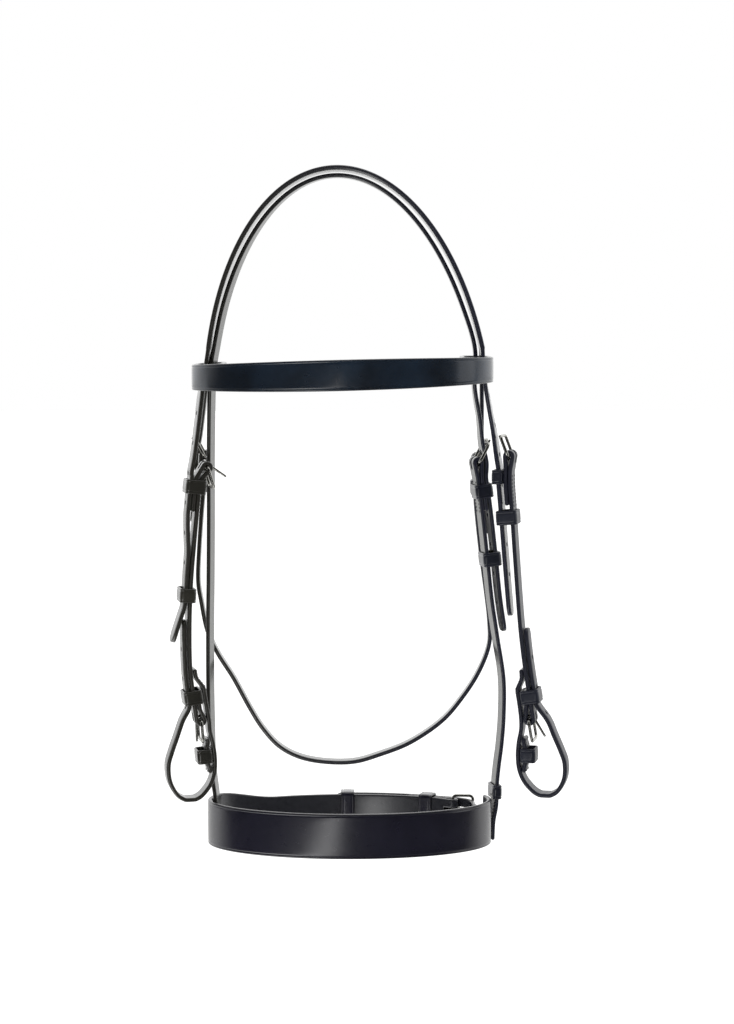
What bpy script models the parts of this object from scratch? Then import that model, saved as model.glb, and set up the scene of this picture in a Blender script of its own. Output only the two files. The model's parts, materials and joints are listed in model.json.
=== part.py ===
"""Exercise bridle of the English hunt type, in black leather with stainless buckles.

The bridle hangs from its crown. X runs to the horse's near (left) side, Y to the rear and Z up.
The origin is the underside of the crown at the poll. Sizes are in metres.
Every strap is a flat grid laid along a route and given its thickness, every buckle is a bent wire,
and every keeper is an extruded ring. A buckle's own frame has X to where it faces, Y across its
strap and Z from its heel bar to its far bar.
"""
import math

import bmesh
import bpy
from mathutils import Matrix, Vector

MM = 0.001

# Leather and clearances
LEATHER = 3.5 * MM
CROWN_LEATHER = 4.2 * MM
BROWBAND_LEATHER = 3.0 * MM
KEEPER_WALL = 1.8 * MM
KEEPER_HEIGHT = 12.0 * MM
KEEPER_SLACK = 0.5 * MM
RUNNER_SLACK = 0.7 * MM
TOUCH_GAP = 0.3 * MM
HOLE_DIAMETER = 4.0 * MM
HOLE_PITCH = 25.4 * MM
CUT_OVERRUN = 3.0 * MM
MERGE_DISTANCE = 0.01 * MM

# Widths of the straps
CROWN_WIDTH = 38.0 * MM
CHEEK_WIDTH = 18.0 * MM
HEADSTRAP_WIDTH = 16.0 * MM
THROAT_WIDTH = 13.0 * MM
BILLET_WIDTH = 16.0 * MM
CHIN_WIDTH = 19.0 * MM
BROWBAND_CENTRE_WIDTH = 25.4 * MM
BROWBAND_END_WIDTH = 21.0 * MM
NOSEBAND_WIDTH = 38.1 * MM

# Buckle wire
WIRE_RESOLUTION = 1
BAR_RADIUS = 1.3 * MM
TONGUE_RADIUS = 1.1 * MM
TONGUE_EYE_GAP = 0.35 * MM
FRAME_LENGTH = 18.0 * MM
FRAME_CORNER = 3.0 * MM
FRAME_SIDE_GAP = 1.6 * MM
TONGUE_OVERRUN = 1.5 * MM
FRAME_TILT = math.radians(28)
TONGUE_SLOT_WIDTH = 5.0 * MM
TONGUE_SLOT_DEPTH = 8.5 * MM
USED_HOLE_LENGTH = 13.0 * MM

# Fold, layers and tips of a strap
LAYER = LEATHER + TOUCH_GAP
TAIL_LAYER = 1.5
FOLD_RADIUS = BAR_RADIUS + TOUCH_GAP + LEATHER / 2
FOLD_LENGTH = 13.0 * MM
TIP_LENGTH = 7.0 * MM
TIP_SHARES = (1.0, 0.55, 0.2, 0.0)
TIP_BLUNT_SHARE = 0.4
TIP_CLEAR_SHARE = 1.4
CHAPE_LENGTH = 42.0 * MM
THROAT_CHAPE_LENGTH = 30.0 * MM

# The crown arch, seen from the front
ARCH_HALF_WIDTH = 120.5 * MM
ARCH_HEIGHT = 215.0 * MM
ARCH_LEAN_SHARE = 0.045
ARCH_LEAN_HEIGHT = 60.0 * MM
ARCH_SLACK = 2.4 * MM
SPLIT_DEPTH = 150.0 * MM
POLL_GAP = 2.0 * MM
CROWN_CENTRE_HEIGHT = LEATHER + POLL_GAP + CROWN_LEATHER / 2

# The width of the throatlatch, and the shares of it where its buckles hang
THROAT_HALF_SPAN = 130.0 * MM
OFF_THROAT_BAR_SHARE = 0.905
NEAR_THROAT_BAR_SHARE = 0.9

# Heel bars of the buckles on the cheeks
OFF_CHEEK_BAR = Vector((-114.0 * MM, -10.1 * MM, -242.5 * MM))
NEAR_CHEEK_BAR = Vector((143.0 * MM, -11.0 * MM, -233.0 * MM))
OFF_THROAT_BAR = Vector((-THROAT_HALF_SPAN * OFF_THROAT_BAR_SHARE, 38.0 * MM, -236.0 * MM))
NEAR_THROAT_BAR = Vector((THROAT_HALF_SPAN * NEAR_THROAT_BAR_SHARE, 38.0 * MM, -238.0 * MM))
HANGER_BAR = Vector((115.5 * MM, 13.0 * MM, -240.0 * MM))
CHEEK_YAW = math.radians(13)
HANGER_TURN = math.radians(12)

# Lengths of the points below their buckles, and places of keepers and holes along them
OFF_CHEEK_TAIL = 158.0 * MM
NEAR_CHEEK_TAIL = 137.0 * MM
OFF_THROAT_TAIL = 58.0 * MM
NEAR_THROAT_TAIL = 66.0 * MM
THROAT_HOLE_PLACE = 14.0 * MM
HANGER_TAIL = 148.0 * MM
CHIN_TAIL = 112.0 * MM
KEEPER_PLACE = 25.0 * MM
OFF_KEEPER_PLACE = 19.5 * MM
NEAR_KEEPER_PLACE = 18.0 * MM
OFF_RUNNER_PLACE = 111.5 * MM
NEAR_RUNNER_PLACE = 52.0 * MM
HANGER_RUNNER_PLACE = 84.0 * MM
CHIN_RUNNER_PLACE = 96.0 * MM

# The top buckles of the cheeks, which are undone: their tilts, and where their points pass outside them
OFF_FOLD_TURN = 48
OFF_CHEEK_TILTS = (math.radians(-163), math.radians(-125))
NEAR_CHEEK_TILTS = (math.radians(21), math.radians(21))
OFF_PASSING = ((10.7 * MM, 8.7 * MM), (13.1 * MM, -3.9 * MM))
NEAR_PASSING = ((14.4 * MM, 22.0 * MM), (11.0 * MM, 0.0))
OFF_TAIL_START = 16.0 * MM
OFF_TAIL_LAYERS = ((0.0, 1.5), (0.2, 1.5), (0.27, 1.1), (0.35, 0.55), (0.5, 0.5), (0.55, 0.65), (0.61, 1.7),
                   (0.67, 2.8), (0.74, 3.8))
NEAR_TAIL_LAYERS = ((0.0, 2.2), (1.0, 1.5))
OFF_KEEPER_LAYERS = (-1.5, 2)
OFF_RUNNER_LAYERS = (-1.1, 1.3)
NEAR_KEEPER_LAYERS = (1.65, 2.95)
NEAR_RUNNER_LAYERS = (-1, 2.5)
OFF_HOLE_SHARES = (-1.5, -0.5, 0.5, 1.5, 2.5, 3.5)
NEAR_HOLE_SHARES = (-2, -1, 0, 1, 2, 3, 4)

# The cheekpieces down to the heel bars of their bit buckles
OFF_CHEEK_DROP = 215.5 * MM
NEAR_CHEEK_DROP = 224.0 * MM
OFF_CHEEK_BOW = 17.6 * MM
NEAR_CHEEK_BOW = 20.2 * MM
OFF_CHEEK_SHARES = ((0, 0), (0.0135, 0.1875), (0.029, 0.34), (0.049, 0.4375), (0.072, 0.489), (0.123, 0.545),
                    (0.29, 0.744), (0.447, 0.915), (0.603, 1.0), (0.76, 1.0), (0.854, 0.915),
                    (0.927, 0.795), (1.0, 0.676))
NEAR_CHEEK_SHARES = ((0, 0), (0.06, 0.04), (0.11, 0.035), (0.2, -0.042), (0.39, -0.196), (0.59, -0.37),
                     (0.69, -0.477), (0.79, -0.62), (0.88, -0.78), (0.94, -0.89), (1.0, -1.0))
RETURN_LENGTH = 25.0 * MM
BILLET_LAP = 44.0 * MM
BILLET_LAP_SHARES = ((1.0, 0.0), (0.9, 0.02), (0.8, 0.15), (0.69, 0.6), (0.61, 0.87), (0.45, 0.89),
                     (0.3, 0.9))

# The billet loop that holds the bit, from the bit buckle's heel bar down
LOOP_CENTRE = 8.0 * MM
LOOP_HALF_WIDTH = 20.0 * MM
OFF_LOOP_DROP = 68.0 * MM
NEAR_LOOP_DROP = 64.5 * MM
LOOP_SHARES = ((0.14, -0.79), (0.3, -0.92), (0.48, -1.0), (0.66, -0.98), (0.82, -0.8), (0.95, -0.45),
               (1.0, -0.17), (1.0, 0.28), (0.93, 0.62), (0.76, 0.92), (0.56, 0.98), (0.4, 0.84), (0.2, 0.6),
               (0.0, 0.36))
NEAR_LOOP_LEAN_SHARE = 0.07
OFF_BILLET_TAIL = 87.0 * MM
NEAR_BILLET_TAIL = 78.0 * MM
TAIL_SLACK = 0.5 * MM
BIT_KEEPER_PLACE = 20.0 * MM
EMPTY_KEEPER_PLACE = 31.0 * MM
EMPTY_KEEPER_DEPTH = 9.5 * MM
LINING_REACH = 16.0 * MM
LINING_SHARES = ((-1.0, 0.0), (-0.75, 0.1), (-0.45, 1.0), (0.45, 1.0), (0.75, 0.1), (1.0, 0.0))
OFF_BIT_TILT = math.radians(-4)
NEAR_BIT_TILT = math.radians(10)
OFF_BIT_TONGUE_TILT = math.radians(3)
NEAR_BIT_TONGUE_TILT = math.radians(22)

# The headstrap and the hanger of the noseband
HEADSTRAP_REACH = 112.9 * MM
HEADSTRAP_END = 562.0 * MM
HEADSTRAP_SHARES = ((0.3, 0.966, 0.15), (0.41, 0.984, 0.9), (0.50, 0.987, 1.0), (0.6, 0.992, 1.0),
                    (0.68, 0.998, 1.0), (0.79, 0.998, 0.95), (0.89, 0.982, 0.75), (0.945, 0.95, 0.5),
                    (1.0, 0.95, 0.35))
HEADSTRAP_SETBACK = 13.0 * MM
HEADSTRAP_SPACING = 8.0 * MM
HEADSTRAP_LEAD_SHARES = ((1.0, 0.35, 0.31), (1.04, 0.8, 0.36))
HEADSTRAP_TURN = math.radians(12)
HEADSTRAP_TURN_REACH = 100.0 * MM
HEADSTRAP_SETTLE_HEIGHT = 100.0 * MM
HEADSTRAP_END_TURN_SHARE = 0.3
HANGER_DROP = 327.0 * MM
HANGER_BOW = 27.0 * MM
HANGER_SHARES = ((0, 0), (0.04, 0.05), (0.125, 0.2), (0.25, 0.38), (0.36, 0.53), (0.46, 0.72),
                 (0.57, 0.93), (0.67, 0.94), (0.746, 0.874), (0.8, 0.79), (0.85, 0.73), (0.908, 0.71),
                 (0.95, 0.62), (1.0, 0.59))

# The throatlatch
THROAT_DROP = 270.0 * MM
THROAT_SHARES = ((-0.924, 0.08), (-0.946, 0.19), (-0.965, 0.32), (-0.97, 0.404), (-0.95, 0.47),
                 (-0.91, 0.565), (-0.84, 0.64), (-0.736, 0.72), (-0.63, 0.815), (-0.54, 0.885),
                 (-0.426, 0.945), (-0.285, 0.981), (-0.115, 0.997), (0.08, 0.997), (0.253, 0.974),
                 (0.466, 0.933), (0.678, 0.863), (0.818, 0.785), (0.93, 0.70), (1.0, 0.61), (1.0, 0.53),
                 (0.98, 0.445), (0.945, 0.32), (0.91, 0.165), (0.9, 0.07))

# The browband
BROWBAND_DROP = 163.5 * MM
BROWBAND_RISE = 3.2 * MM
BROWBAND_CENTRE = Vector((1.6 * MM, -22.0 * MM, 0.0))
BROWBAND_HALF_SPAN = 124.7 * MM
BROWBAND_BOW = 62.0 * MM
BROWBAND_INNER = 101.6 * MM
BROWBAND_REAR = 56.0 * MM
BROWBAND_LOOP_SHARES = ((0.02, -0.17), (0.0, 0.15), (0.0, 0.45), (0.0, 0.74), (0.02, 0.91), (0.5, 1.0),
                        (0.9, 0.9), (1.0, 0.74), (1.0, 0.45), (1.0, 0.2), (1.0, 0.0))
BROWBAND_LAP_ANGLES = (math.radians(20), math.radians(36))

# The noseband
NOSEBAND_CENTRE = Vector((7.1 * MM, 4.0 * MM, -548.5 * MM))
NOSEBAND_HALF_WIDTH = 120.1 * MM
NOSEBAND_HALF_DEPTH = 64.0 * MM
NOSEBAND_END_ANGLE = math.radians(14)
NOSEBAND_TAPER_ANGLES = (math.radians(-196), math.radians(-238))
CHIN_BAR_ANGLE = math.radians(42)
SMALL_ANGLE = math.radians(0.6)
NOSEBAND_STEPS = 90
CHIN_BILLET_ANGLE = math.radians(-12)
CHIN_LEAD_ANGLE = math.radians(22)
BOX_KEEPER_DROP = 287.0 * MM

# The legs of the headpiece below the crown: rows, and leads as shares down, sideways and back
LEG_ROWS = 30
OFF_TURN_SHARE = 0.16
NEAR_TURN_SHARE = 0.4
OFF_LEAD_SHARES = ((0.36, 0.44, 0.3), (0.75, 0.77, 0.75))
NEAR_LEAD_SHARES = ((0.36, 0.2, 0.2), (0.75, 0.66, 0.7))
THROAT_LEAD_SHARES = ((0.3, 0.25, 0.03), (0.7, 0.66, 0.6))


def clear_scene():
    """Removes whatever the opened file holds."""
    for item in list(bpy.data.objects):
        bpy.data.objects.remove(item)


def make_material(name, colour, roughness, metallic):
    """A Principled material of one colour."""
    material = bpy.data.materials.new(name)
    material.use_nodes = True
    shader = material.node_tree.nodes["Principled BSDF"]
    shader.inputs["Base Color"].default_value = (*colour, 1.0)
    shader.inputs["Roughness"].default_value = roughness
    shader.inputs["Metallic"].default_value = metallic
    material.diffuse_color = (*colour, 1.0)
    return material


def make_collection(name):
    """A collection of its own under the scene's."""
    collection = bpy.data.collections.new(name)
    bpy.context.scene.collection.children.link(collection)
    return collection


def smooth_route(points, steps):
    """Points of a Catmull-Rom curve through the route's points."""
    points = [Vector(point) for point in points]
    first = points[0] * 2 - points[1]
    last = points[-1] * 2 - points[-2]
    padded = [first] + points + [last]
    curve = []
    for index in range(1, len(padded) - 2):
        before, start, end, after = padded[index - 1:index + 3]
        for step in range(steps):
            t = step / steps
            curve.append(0.5 * (2 * start + (end - before) * t
                                + (2 * before - 5 * start + 4 * end - after) * t ** 2
                                + (3 * start - before - 3 * end + after) * t ** 3))
    curve.append(points[-1])
    return curve


def route_lengths(curve):
    """The running length at each point of a polyline."""
    lengths = [0.0]
    for before, after in zip(curve, curve[1:]):
        lengths.append(lengths[-1] + (after - before).length)
    return lengths


def point_at(curve, distance):
    """The point of a polyline at a distance along it."""
    lengths = route_lengths(curve)
    distance = min(max(distance, 0.0), lengths[-1])
    for index in range(1, len(curve)):
        if distance <= lengths[index]:
            span = lengths[index] - lengths[index - 1]
            share = (distance - lengths[index - 1]) / span
            return curve[index - 1].lerp(curve[index], share)
    return curve[-1].copy()


def direction_at(curve, distance):
    """The unit direction of a polyline at a distance along it."""
    total = route_lengths(curve)[-1]
    reach = LEATHER / 2
    after = point_at(curve, min(distance + reach, total))
    before = point_at(curve, max(distance - reach, 0.0))
    return (after - before).normalized()


def part_of_route(curve, start, end, steps):
    """Evenly spaced points of a polyline between two distances."""
    return [point_at(curve, start + (end - start) * step / steps) for step in range(steps + 1)]


def side_of(direction):
    """The normal of a direction in the upright plane of a strap's route."""
    return Vector((-direction.z, 0.0, direction.x))


def offset_route(curve, distance):
    """A polyline beside another in its upright plane, by a distance or by one given for each share."""
    lengths = route_lengths(curve)
    shifted = []
    for point, place in zip(curve, lengths):
        reach = distance(place / lengths[-1]) if callable(distance) else distance
        shifted.append(point + side_of(direction_at(curve, place)) * reach)
    return shifted


def tip_share(left):
    """The share of a strap's full width at a distance from its rounded tip."""
    if left >= TIP_LENGTH:
        return 1.0
    return TIP_BLUNT_SHARE + (1 - TIP_BLUNT_SHARE) * math.sin(math.pi / 2 * left / TIP_LENGTH)


def round_tip(route):
    """A route whose last points are close together, for a rounded tip."""
    lengths = route_lengths(route)
    length = lengths[-1]
    kept = [point for point, place in zip(route, lengths) if place < length - TIP_LENGTH * TIP_CLEAR_SHARE]
    return kept + [point_at(route, length - TIP_LENGTH * share) for share in TIP_SHARES]


def finish_object(mesh, name, material, collection, parent=None):
    """An object for a mesh, with its material and its place under a parent."""
    item = bpy.data.objects.new(name, mesh)
    mesh.materials.append(material)
    collection.objects.link(item)
    item.parent = parent
    return item


def ribbon_mesh(name, rows):
    """A grid whose vertices are moved to the rows of edge points."""
    steps = len(rows) - 1
    columns = len(rows[0]) - 1
    bm = bmesh.new()
    bmesh.ops.create_grid(bm, x_segments=steps, y_segments=columns, size=1.0)
    for vertex in bm.verts:
        row = round((vertex.co.x + 1) / 2 * steps)
        column = round((vertex.co.y + 1) / 2 * columns)
        vertex.co = rows[row][column]
    mesh = bpy.data.meshes.new(name)
    bm.to_mesh(mesh)
    bm.free()
    return mesh


def solidify(item, thickness):
    """Gives a strap its leather's thickness, half on each side of its route."""
    modifier = item.modifiers.new("Leather", "SOLIDIFY")
    modifier.thickness = thickness
    modifier.offset = 0.0
    modifier.use_rim = True


def strap(name, route, width, material, collection, parent=None, across=Vector((0, 1, 0)),
          thickness=LEATHER, end_tip=False):
    """A flat strap with a row of edge points at each point of its route."""
    if end_tip:
        route = round_tip(route)
    lengths = route_lengths(route)
    rows = []
    for centre, place in zip(route, lengths):
        share = place / lengths[-1]
        side = across(share) if callable(across) else across
        half = (width(share) if callable(width) else width) / 2
        if end_tip:
            half *= tip_share(lengths[-1] - place)
        rows.append((centre - side * half, centre + side * half))
    item = finish_object(ribbon_mesh(name, rows), name, material, collection, parent)
    solidify(item, thickness)
    return item


def hole_places(first, count):
    """Distances of a row of buckle holes from a strap's tip."""
    return [first + HOLE_PITCH * index for index in range(count)]


def cut(strap_item, cutter_mesh, cutters, parent=None):
    """Cuts a mesh out of a strap."""
    cutter = bpy.data.objects.new(cutter_mesh.name, cutter_mesh)
    cutters.objects.link(cutter)
    cutter.parent = parent
    cutter.hide_render = True
    cutter.display_type = "WIRE"
    modifier = strap_item.modifiers.new("Cut", "BOOLEAN")
    modifier.operation = "DIFFERENCE"
    modifier.solver = "EXACT"
    modifier.object = cutter


def frame_matrix(origin, along, across):
    """A frame with X through the strap, Y across it and Z along it."""
    along = along.normalized()
    through = across.cross(along).normalized()
    square = along.cross(through).normalized()
    rotation = Matrix((through, square, along)).transposed().to_4x4()
    return Matrix.Translation(origin) @ rotation


def punch_mesh(name, frames, length, thickness):
    """Round or long punches, one for each frame, through a strap's thickness."""
    bm = bmesh.new()
    depth = thickness + 2 * CUT_OVERRUN
    for frame in frames:
        turn = Matrix.Rotation(math.pi / 2, 4, "Y")
        stretch = Matrix.Diagonal((1.0, 1.0, length / HOLE_DIAMETER, 1.0))
        bmesh.ops.create_cone(bm, cap_ends=True, segments=8, radius1=HOLE_DIAMETER / 2,
                              radius2=HOLE_DIAMETER / 2, depth=depth,
                              matrix=frame @ stretch @ turn)
    mesh = bpy.data.meshes.new(name)
    bm.to_mesh(mesh)
    bm.free()
    return mesh


def box_mesh(name, frames, size):
    """Boxes of one size, one for each frame."""
    bm = bmesh.new()
    for frame in frames:
        bmesh.ops.create_cube(bm, size=1.0, matrix=frame @ Matrix.Diagonal((*size, 1.0)))
    mesh = bpy.data.meshes.new(name)
    bm.to_mesh(mesh)
    bm.free()
    return mesh


def route_frames(route, places, across=Vector((0, 1, 0))):
    """Frames on a route at several distances."""
    return [frame_matrix(point_at(route, place), direction_at(route, place), across) for place in places]


def wire_mesh(name, points, radius, cyclic):
    """The mesh of a bent wire, as a closed body."""
    curve = bpy.data.curves.new(name, "CURVE")
    curve.dimensions = "3D"
    curve.bevel_depth = radius
    curve.bevel_resolution = WIRE_RESOLUTION
    curve.use_fill_caps = not cyclic
    spline = curve.splines.new("POLY")
    spline.points.add(len(points) - 1)
    for target, point in zip(spline.points, points):
        target.co = (*point, 1.0)
    spline.use_cyclic_u = cyclic
    holder = bpy.data.objects.new(name, curve)
    bpy.context.scene.collection.objects.link(holder)
    bpy.context.view_layer.update()
    evaluated = holder.evaluated_get(bpy.context.evaluated_depsgraph_get())
    mesh = bpy.data.meshes.new_from_object(evaluated)
    bpy.data.objects.remove(holder)
    bm = bmesh.new()
    bm.from_mesh(mesh)
    bmesh.ops.remove_doubles(bm, verts=bm.verts, dist=MERGE_DISTANCE)
    bm.to_mesh(mesh)
    bm.free()
    mesh.shade_smooth()
    mesh.set_sharp_from_angle(angle=math.radians(50))
    return mesh


def buckle_frame(name, strap_width, material, collection, parent):
    """A rounded wire frame whose heel bar lies on the origin and whose far bar is above it."""
    half = strap_width / 2 + FRAME_SIDE_GAP + BAR_RADIUS
    corners = ((-half, 0.0), (half, 0.0), (half, FRAME_LENGTH), (-half, FRAME_LENGTH))
    inward = ((1, 1), (-1, 1), (-1, -1), (1, -1))
    start_turns = (180, 270, 0, 90)
    points = []
    for corner, step, turn in zip(corners, inward, start_turns):
        centre_y = corner[0] + step[0] * FRAME_CORNER
        centre_z = corner[1] + step[1] * FRAME_CORNER
        for index in range(4):
            angle = math.radians(turn + 30 * index)
            points.append((0.0, centre_y + FRAME_CORNER * math.cos(angle),
                           centre_z + FRAME_CORNER * math.sin(angle)))
    mesh = wire_mesh(name, points, BAR_RADIUS, True)
    return finish_object(mesh, name, material, collection, parent)


def buckle_tongue(name, material, collection, parent):
    """A wire that goes three quarters round the heel bar and rests on the far bar."""
    eye = BAR_RADIUS + TONGUE_EYE_GAP + TONGUE_RADIUS
    points = []
    for index in range(8):
        angle = math.radians(90 + 270 * index / 7)
        points.append((eye * math.cos(angle), 0.0, eye * math.sin(angle)))
    points.append((eye, 0.0, FRAME_LENGTH / 2))
    points.append((eye, 0.0, FRAME_LENGTH + TONGUE_OVERRUN))
    mesh = wire_mesh(name, points, TONGUE_RADIUS, False)
    return finish_object(mesh, name, material, collection, parent)


def ring(name, depth, width, height, material, collection, parent):
    """A keeper: a rounded ring of leather round a strap, with the strap along its Z."""
    curve = bpy.data.curves.new(name, "CURVE")
    curve.dimensions = "2D"
    curve.fill_mode = "BOTH"
    curve.extrude = height / 2
    inner_corner = KEEPER_WALL / 2
    for grow, corner in ((KEEPER_WALL, inner_corner + KEEPER_WALL), (0.0, inner_corner)):
        half_x = depth / 2 + grow
        half_y = width / 2 + grow
        spline = curve.splines.new("POLY")
        outline = []
        for sx, sy, turn in ((1, 1, 0), (-1, 1, 90), (-1, -1, 180), (1, -1, 270)):
            for index in range(3):
                angle = math.radians(turn + 45 * index)
                outline.append((sx * (half_x - corner) + corner * math.cos(angle),
                                sy * (half_y - corner) + corner * math.sin(angle)))
        spline.points.add(len(outline) - 1)
        for target, point in zip(spline.points, outline):
            target.co = (*point, 0.0, 1.0)
        spline.use_cyclic_u = True
    item = bpy.data.objects.new(name, curve)
    curve.materials.append(material)
    collection.objects.link(item)
    item.parent = parent
    return item


def group(name, matrix, parent=None):
    """An empty that carries a group of pieces in their own frame."""
    item = bpy.data.objects.new(name, None)
    bpy.context.scene.collection.objects.link(item)
    item.parent = parent
    item.matrix_local = matrix
    return item


def arc_points(centre, radius, start, end, count):
    """Points of an arc in the upright plane, angles from +X towards +Z."""
    points = []
    for index in range(count + 1):
        angle = math.radians(start + (end - start) * index / count)
        points.append(centre + Vector((radius * math.cos(angle), 0.0, radius * math.sin(angle))))
    return points


def arch_route(half_width, crown_height, slack, steps=28):
    """The crown's arch from the off side over the poll to the near side."""
    height = ARCH_HEIGHT + crown_height - CROWN_CENTRE_HEIGHT
    depth = SPLIT_DEPTH + crown_height - CROWN_CENTRE_HEIGHT
    last = math.asin(1 - depth / height)
    route = []
    for index in range(steps + 1):
        angle = math.pi - last - (math.pi - 2 * last) * index / steps
        drop = height * (1 - math.sin(angle))
        lean = (drop - ARCH_LEAN_HEIGHT) * ARCH_LEAN_SHARE
        inward = slack * math.sin(2 * angle)
        route.append(Vector((half_width * math.cos(angle) + lean - inward, 0.0, crown_height - drop)))
    return route


def table_route(table, reach, length, steps=3):
    """A smooth route down a table of shares: down the length, and sideways of the reach."""
    return smooth_route([Vector((reach * side, 0.0, -length * down)) for down, side in table], steps)


def moved(matrix, points):
    """Points taken from one frame to another."""
    return [matrix @ Vector(point) for point in points]


def fold(start, end, centre=Vector((0, 0, 0))):
    """The arc of a strap that goes round a heel bar."""
    return arc_points(centre, FOLD_RADIUS, start, end, 8)


def chape_route(seam, length):
    """The stitched end of a fold, from its tip up to the bar, on the side that the buckle faces."""
    return part_of_route(offset_route(seam, LAYER / 2), length, FOLD_LENGTH, 5)


def tail_route(seam, length, steps=18):
    """A point strap below its heel bar, over the chape and down to its tip."""
    at_bar = [Vector((FOLD_RADIUS + LAYER + TOUCH_GAP, 0.0, 0.0))]
    return at_bar + part_of_route(offset_route(seam, TAIL_LAYER * LAYER), FOLD_LENGTH, length, steps)


def crossing():
    """Where a point strap passes inside the far bar of its tilted buckle."""
    inside = FRAME_LENGTH * math.sin(FRAME_TILT) - FOLD_RADIUS - FRAME_SIDE_GAP / 2
    return Vector((inside, 0.0, FRAME_LENGTH * math.cos(FRAME_TILT)))


def used_hole_frame(route, across=Vector((0, 1, 0))):
    """The frame of the hole that a fastened tongue goes through, where it meets its strap's route."""
    along = Vector((math.sin(FRAME_TILT), 0.0, math.cos(FRAME_TILT)))
    eye = BAR_RADIUS + TONGUE_EYE_GAP + TONGUE_RADIUS
    start = Vector((math.cos(FRAME_TILT), 0.0, -math.sin(FRAME_TILT))) * eye
    lengths = route_lengths(route)
    steps = 200
    best = None
    for step in range(steps + 1):
        place = lengths[-1] * step / steps
        point = point_at(route, place)
        reach = (point - start).dot(along)
        distance = (start + along * reach - point).length
        if 0.0 < reach < FRAME_LENGTH and (best is None or distance < best[0]):
            best = (distance, place)
    return frame_matrix(point_at(route, best[1]), direction_at(route, best[1]), across)


def build_buckle(place, strap_width, metal, parts, parent, tilt=FRAME_TILT, tongue_tilt=FRAME_TILT):
    """A frame and its tongue, turned outwards from upright round the heel bar."""
    frame = buckle_frame(place.replace("#", "frame"), strap_width, metal, parts, parent)
    frame.rotation_euler = (0.0, tilt, 0.0)
    tongue = buckle_tongue(place.replace("#", "tongue"), metal, parts, parent)
    tongue.rotation_euler = (0.0, tongue_tilt, 0.0)


def cut_tongue_slot(item, name, cutters, parent, matrix=Matrix.Identity(4)):
    """Opens a fold round the eye of its buckle's tongue."""
    top = FOLD_RADIUS + LEATHER / 2 + CUT_OVERRUN
    size = (2 * top, TONGUE_SLOT_WIDTH, top + TONGUE_SLOT_DEPTH)
    middle = Matrix.Translation((0.0, 0.0, (top - TONGUE_SLOT_DEPTH) / 2))
    cut(item, box_mesh(name, [matrix @ middle], size), cutters, parent)


def keeper_on(name, seam, place, layers, strap_width, leather, parts, parent, slack=KEEPER_SLACK):
    """A keeper round the layers of a strap, from one layer count to another beside the seam."""
    low, high = layers
    depth = (high - low) * LAYER - TOUCH_GAP + 2 * slack
    item = ring(name, depth, strap_width + 2 * slack, KEEPER_HEIGHT, leather, parts, parent)
    direction = direction_at(seam, place)
    item.location = point_at(seam, place) + side_of(direction) * (high + low) / 2 * LAYER
    item.rotation_euler = (0.0, math.atan2(-direction.x, -direction.z), 0.0)
    return item


def stepped_route(route, shares, middle, reach, near, step):
    """A route beside another, from a table of shares of the reach along it and of the step aside."""
    points = []
    for along, aside in shares:
        place = middle + reach * along
        normal = side_of(direction_at(route, place))
        points.append(point_at(route, place) + normal * (near + step * aside))
    return points


def even_points(route, count):
    """A route with evenly spaced points."""
    return part_of_route(route, 0.0, route_lengths(route)[-1], count)


def leg_rows(front, rear, front_side, rear_side, turn_share):
    """Rows of edge points down a split leg, from the crown to the two tips."""
    rows = []
    for step in range(LEG_ROWS + 1):
        share = step / LEG_ROWS
        row = []
        for route, width, side in ((front, CHEEK_WIDTH, front_side), (rear, THROAT_WIDTH, rear_side)):
            length = route_lengths(route)[-1]
            body = LEG_ROWS - len(TIP_SHARES) + 1
            place = (length - TIP_LENGTH) * min(step / body, 1.0)
            if step > body:
                place = length - TIP_LENGTH * TIP_SHARES[step - body]
            turn = Vector((0, 1, 0)).lerp(side, min(share / turn_share, 1.0)).normalized()
            half = width / 2 * tip_share(length - place)
            centre = point_at(route, place)
            row += [centre - turn * half, centre + turn * half]
        rows.append(row)
    return rows


def build_headpiece(leather, parts, cutters, legs, holes):
    """The crown strap, which splits on each side into a cheek point and a throat point."""
    arch = arch_route(ARCH_HALF_WIDTH, CROWN_CENTRE_HEIGHT, 0.0)
    half = CROWN_WIDTH / 2
    edges = (-half, CHEEK_WIDTH - half, half - THROAT_WIDTH, half)
    crown = [[point + Vector((0, y, 0)) for y in edges] for point in arch]
    rows = list(reversed(legs[0]))[:-1] + crown + legs[1][1:]
    bm = bmesh.new()
    steps = len(rows) - 1
    bmesh.ops.create_grid(bm, x_segments=steps, y_segments=3, size=1.0)
    slit = []
    for face in bm.faces:
        centre = face.calc_center_median()
        row = (centre.x + 1) / 2 * steps
        if abs(centre.y) < 0.1 and not LEG_ROWS < row < steps - LEG_ROWS:
            slit.append(face)
    bmesh.ops.delete(bm, geom=slit, context="FACES_ONLY")
    for vertex in bm.verts:
        row = round((vertex.co.x + 1) / 2 * steps)
        column = round((vertex.co.y + 1) / 2 * 3)
        vertex.co = rows[row][column]
    loose = [edge for edge in bm.edges if not edge.link_faces]
    bmesh.ops.delete(bm, geom=loose, context="EDGES")
    mesh = bpy.data.meshes.new("headpiece")
    bm.to_mesh(mesh)
    bm.free()
    item = finish_object(mesh, "headpiece", leather, parts)
    solidify(item, LEATHER)
    round_holes, long_holes = holes
    cut(item, punch_mesh("headpiece_holes", round_holes, HOLE_DIAMETER, LEATHER), cutters)
    cut(item, punch_mesh("headpiece_used_holes", long_holes, USED_HOLE_LENGTH, LEATHER), cutters)


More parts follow.
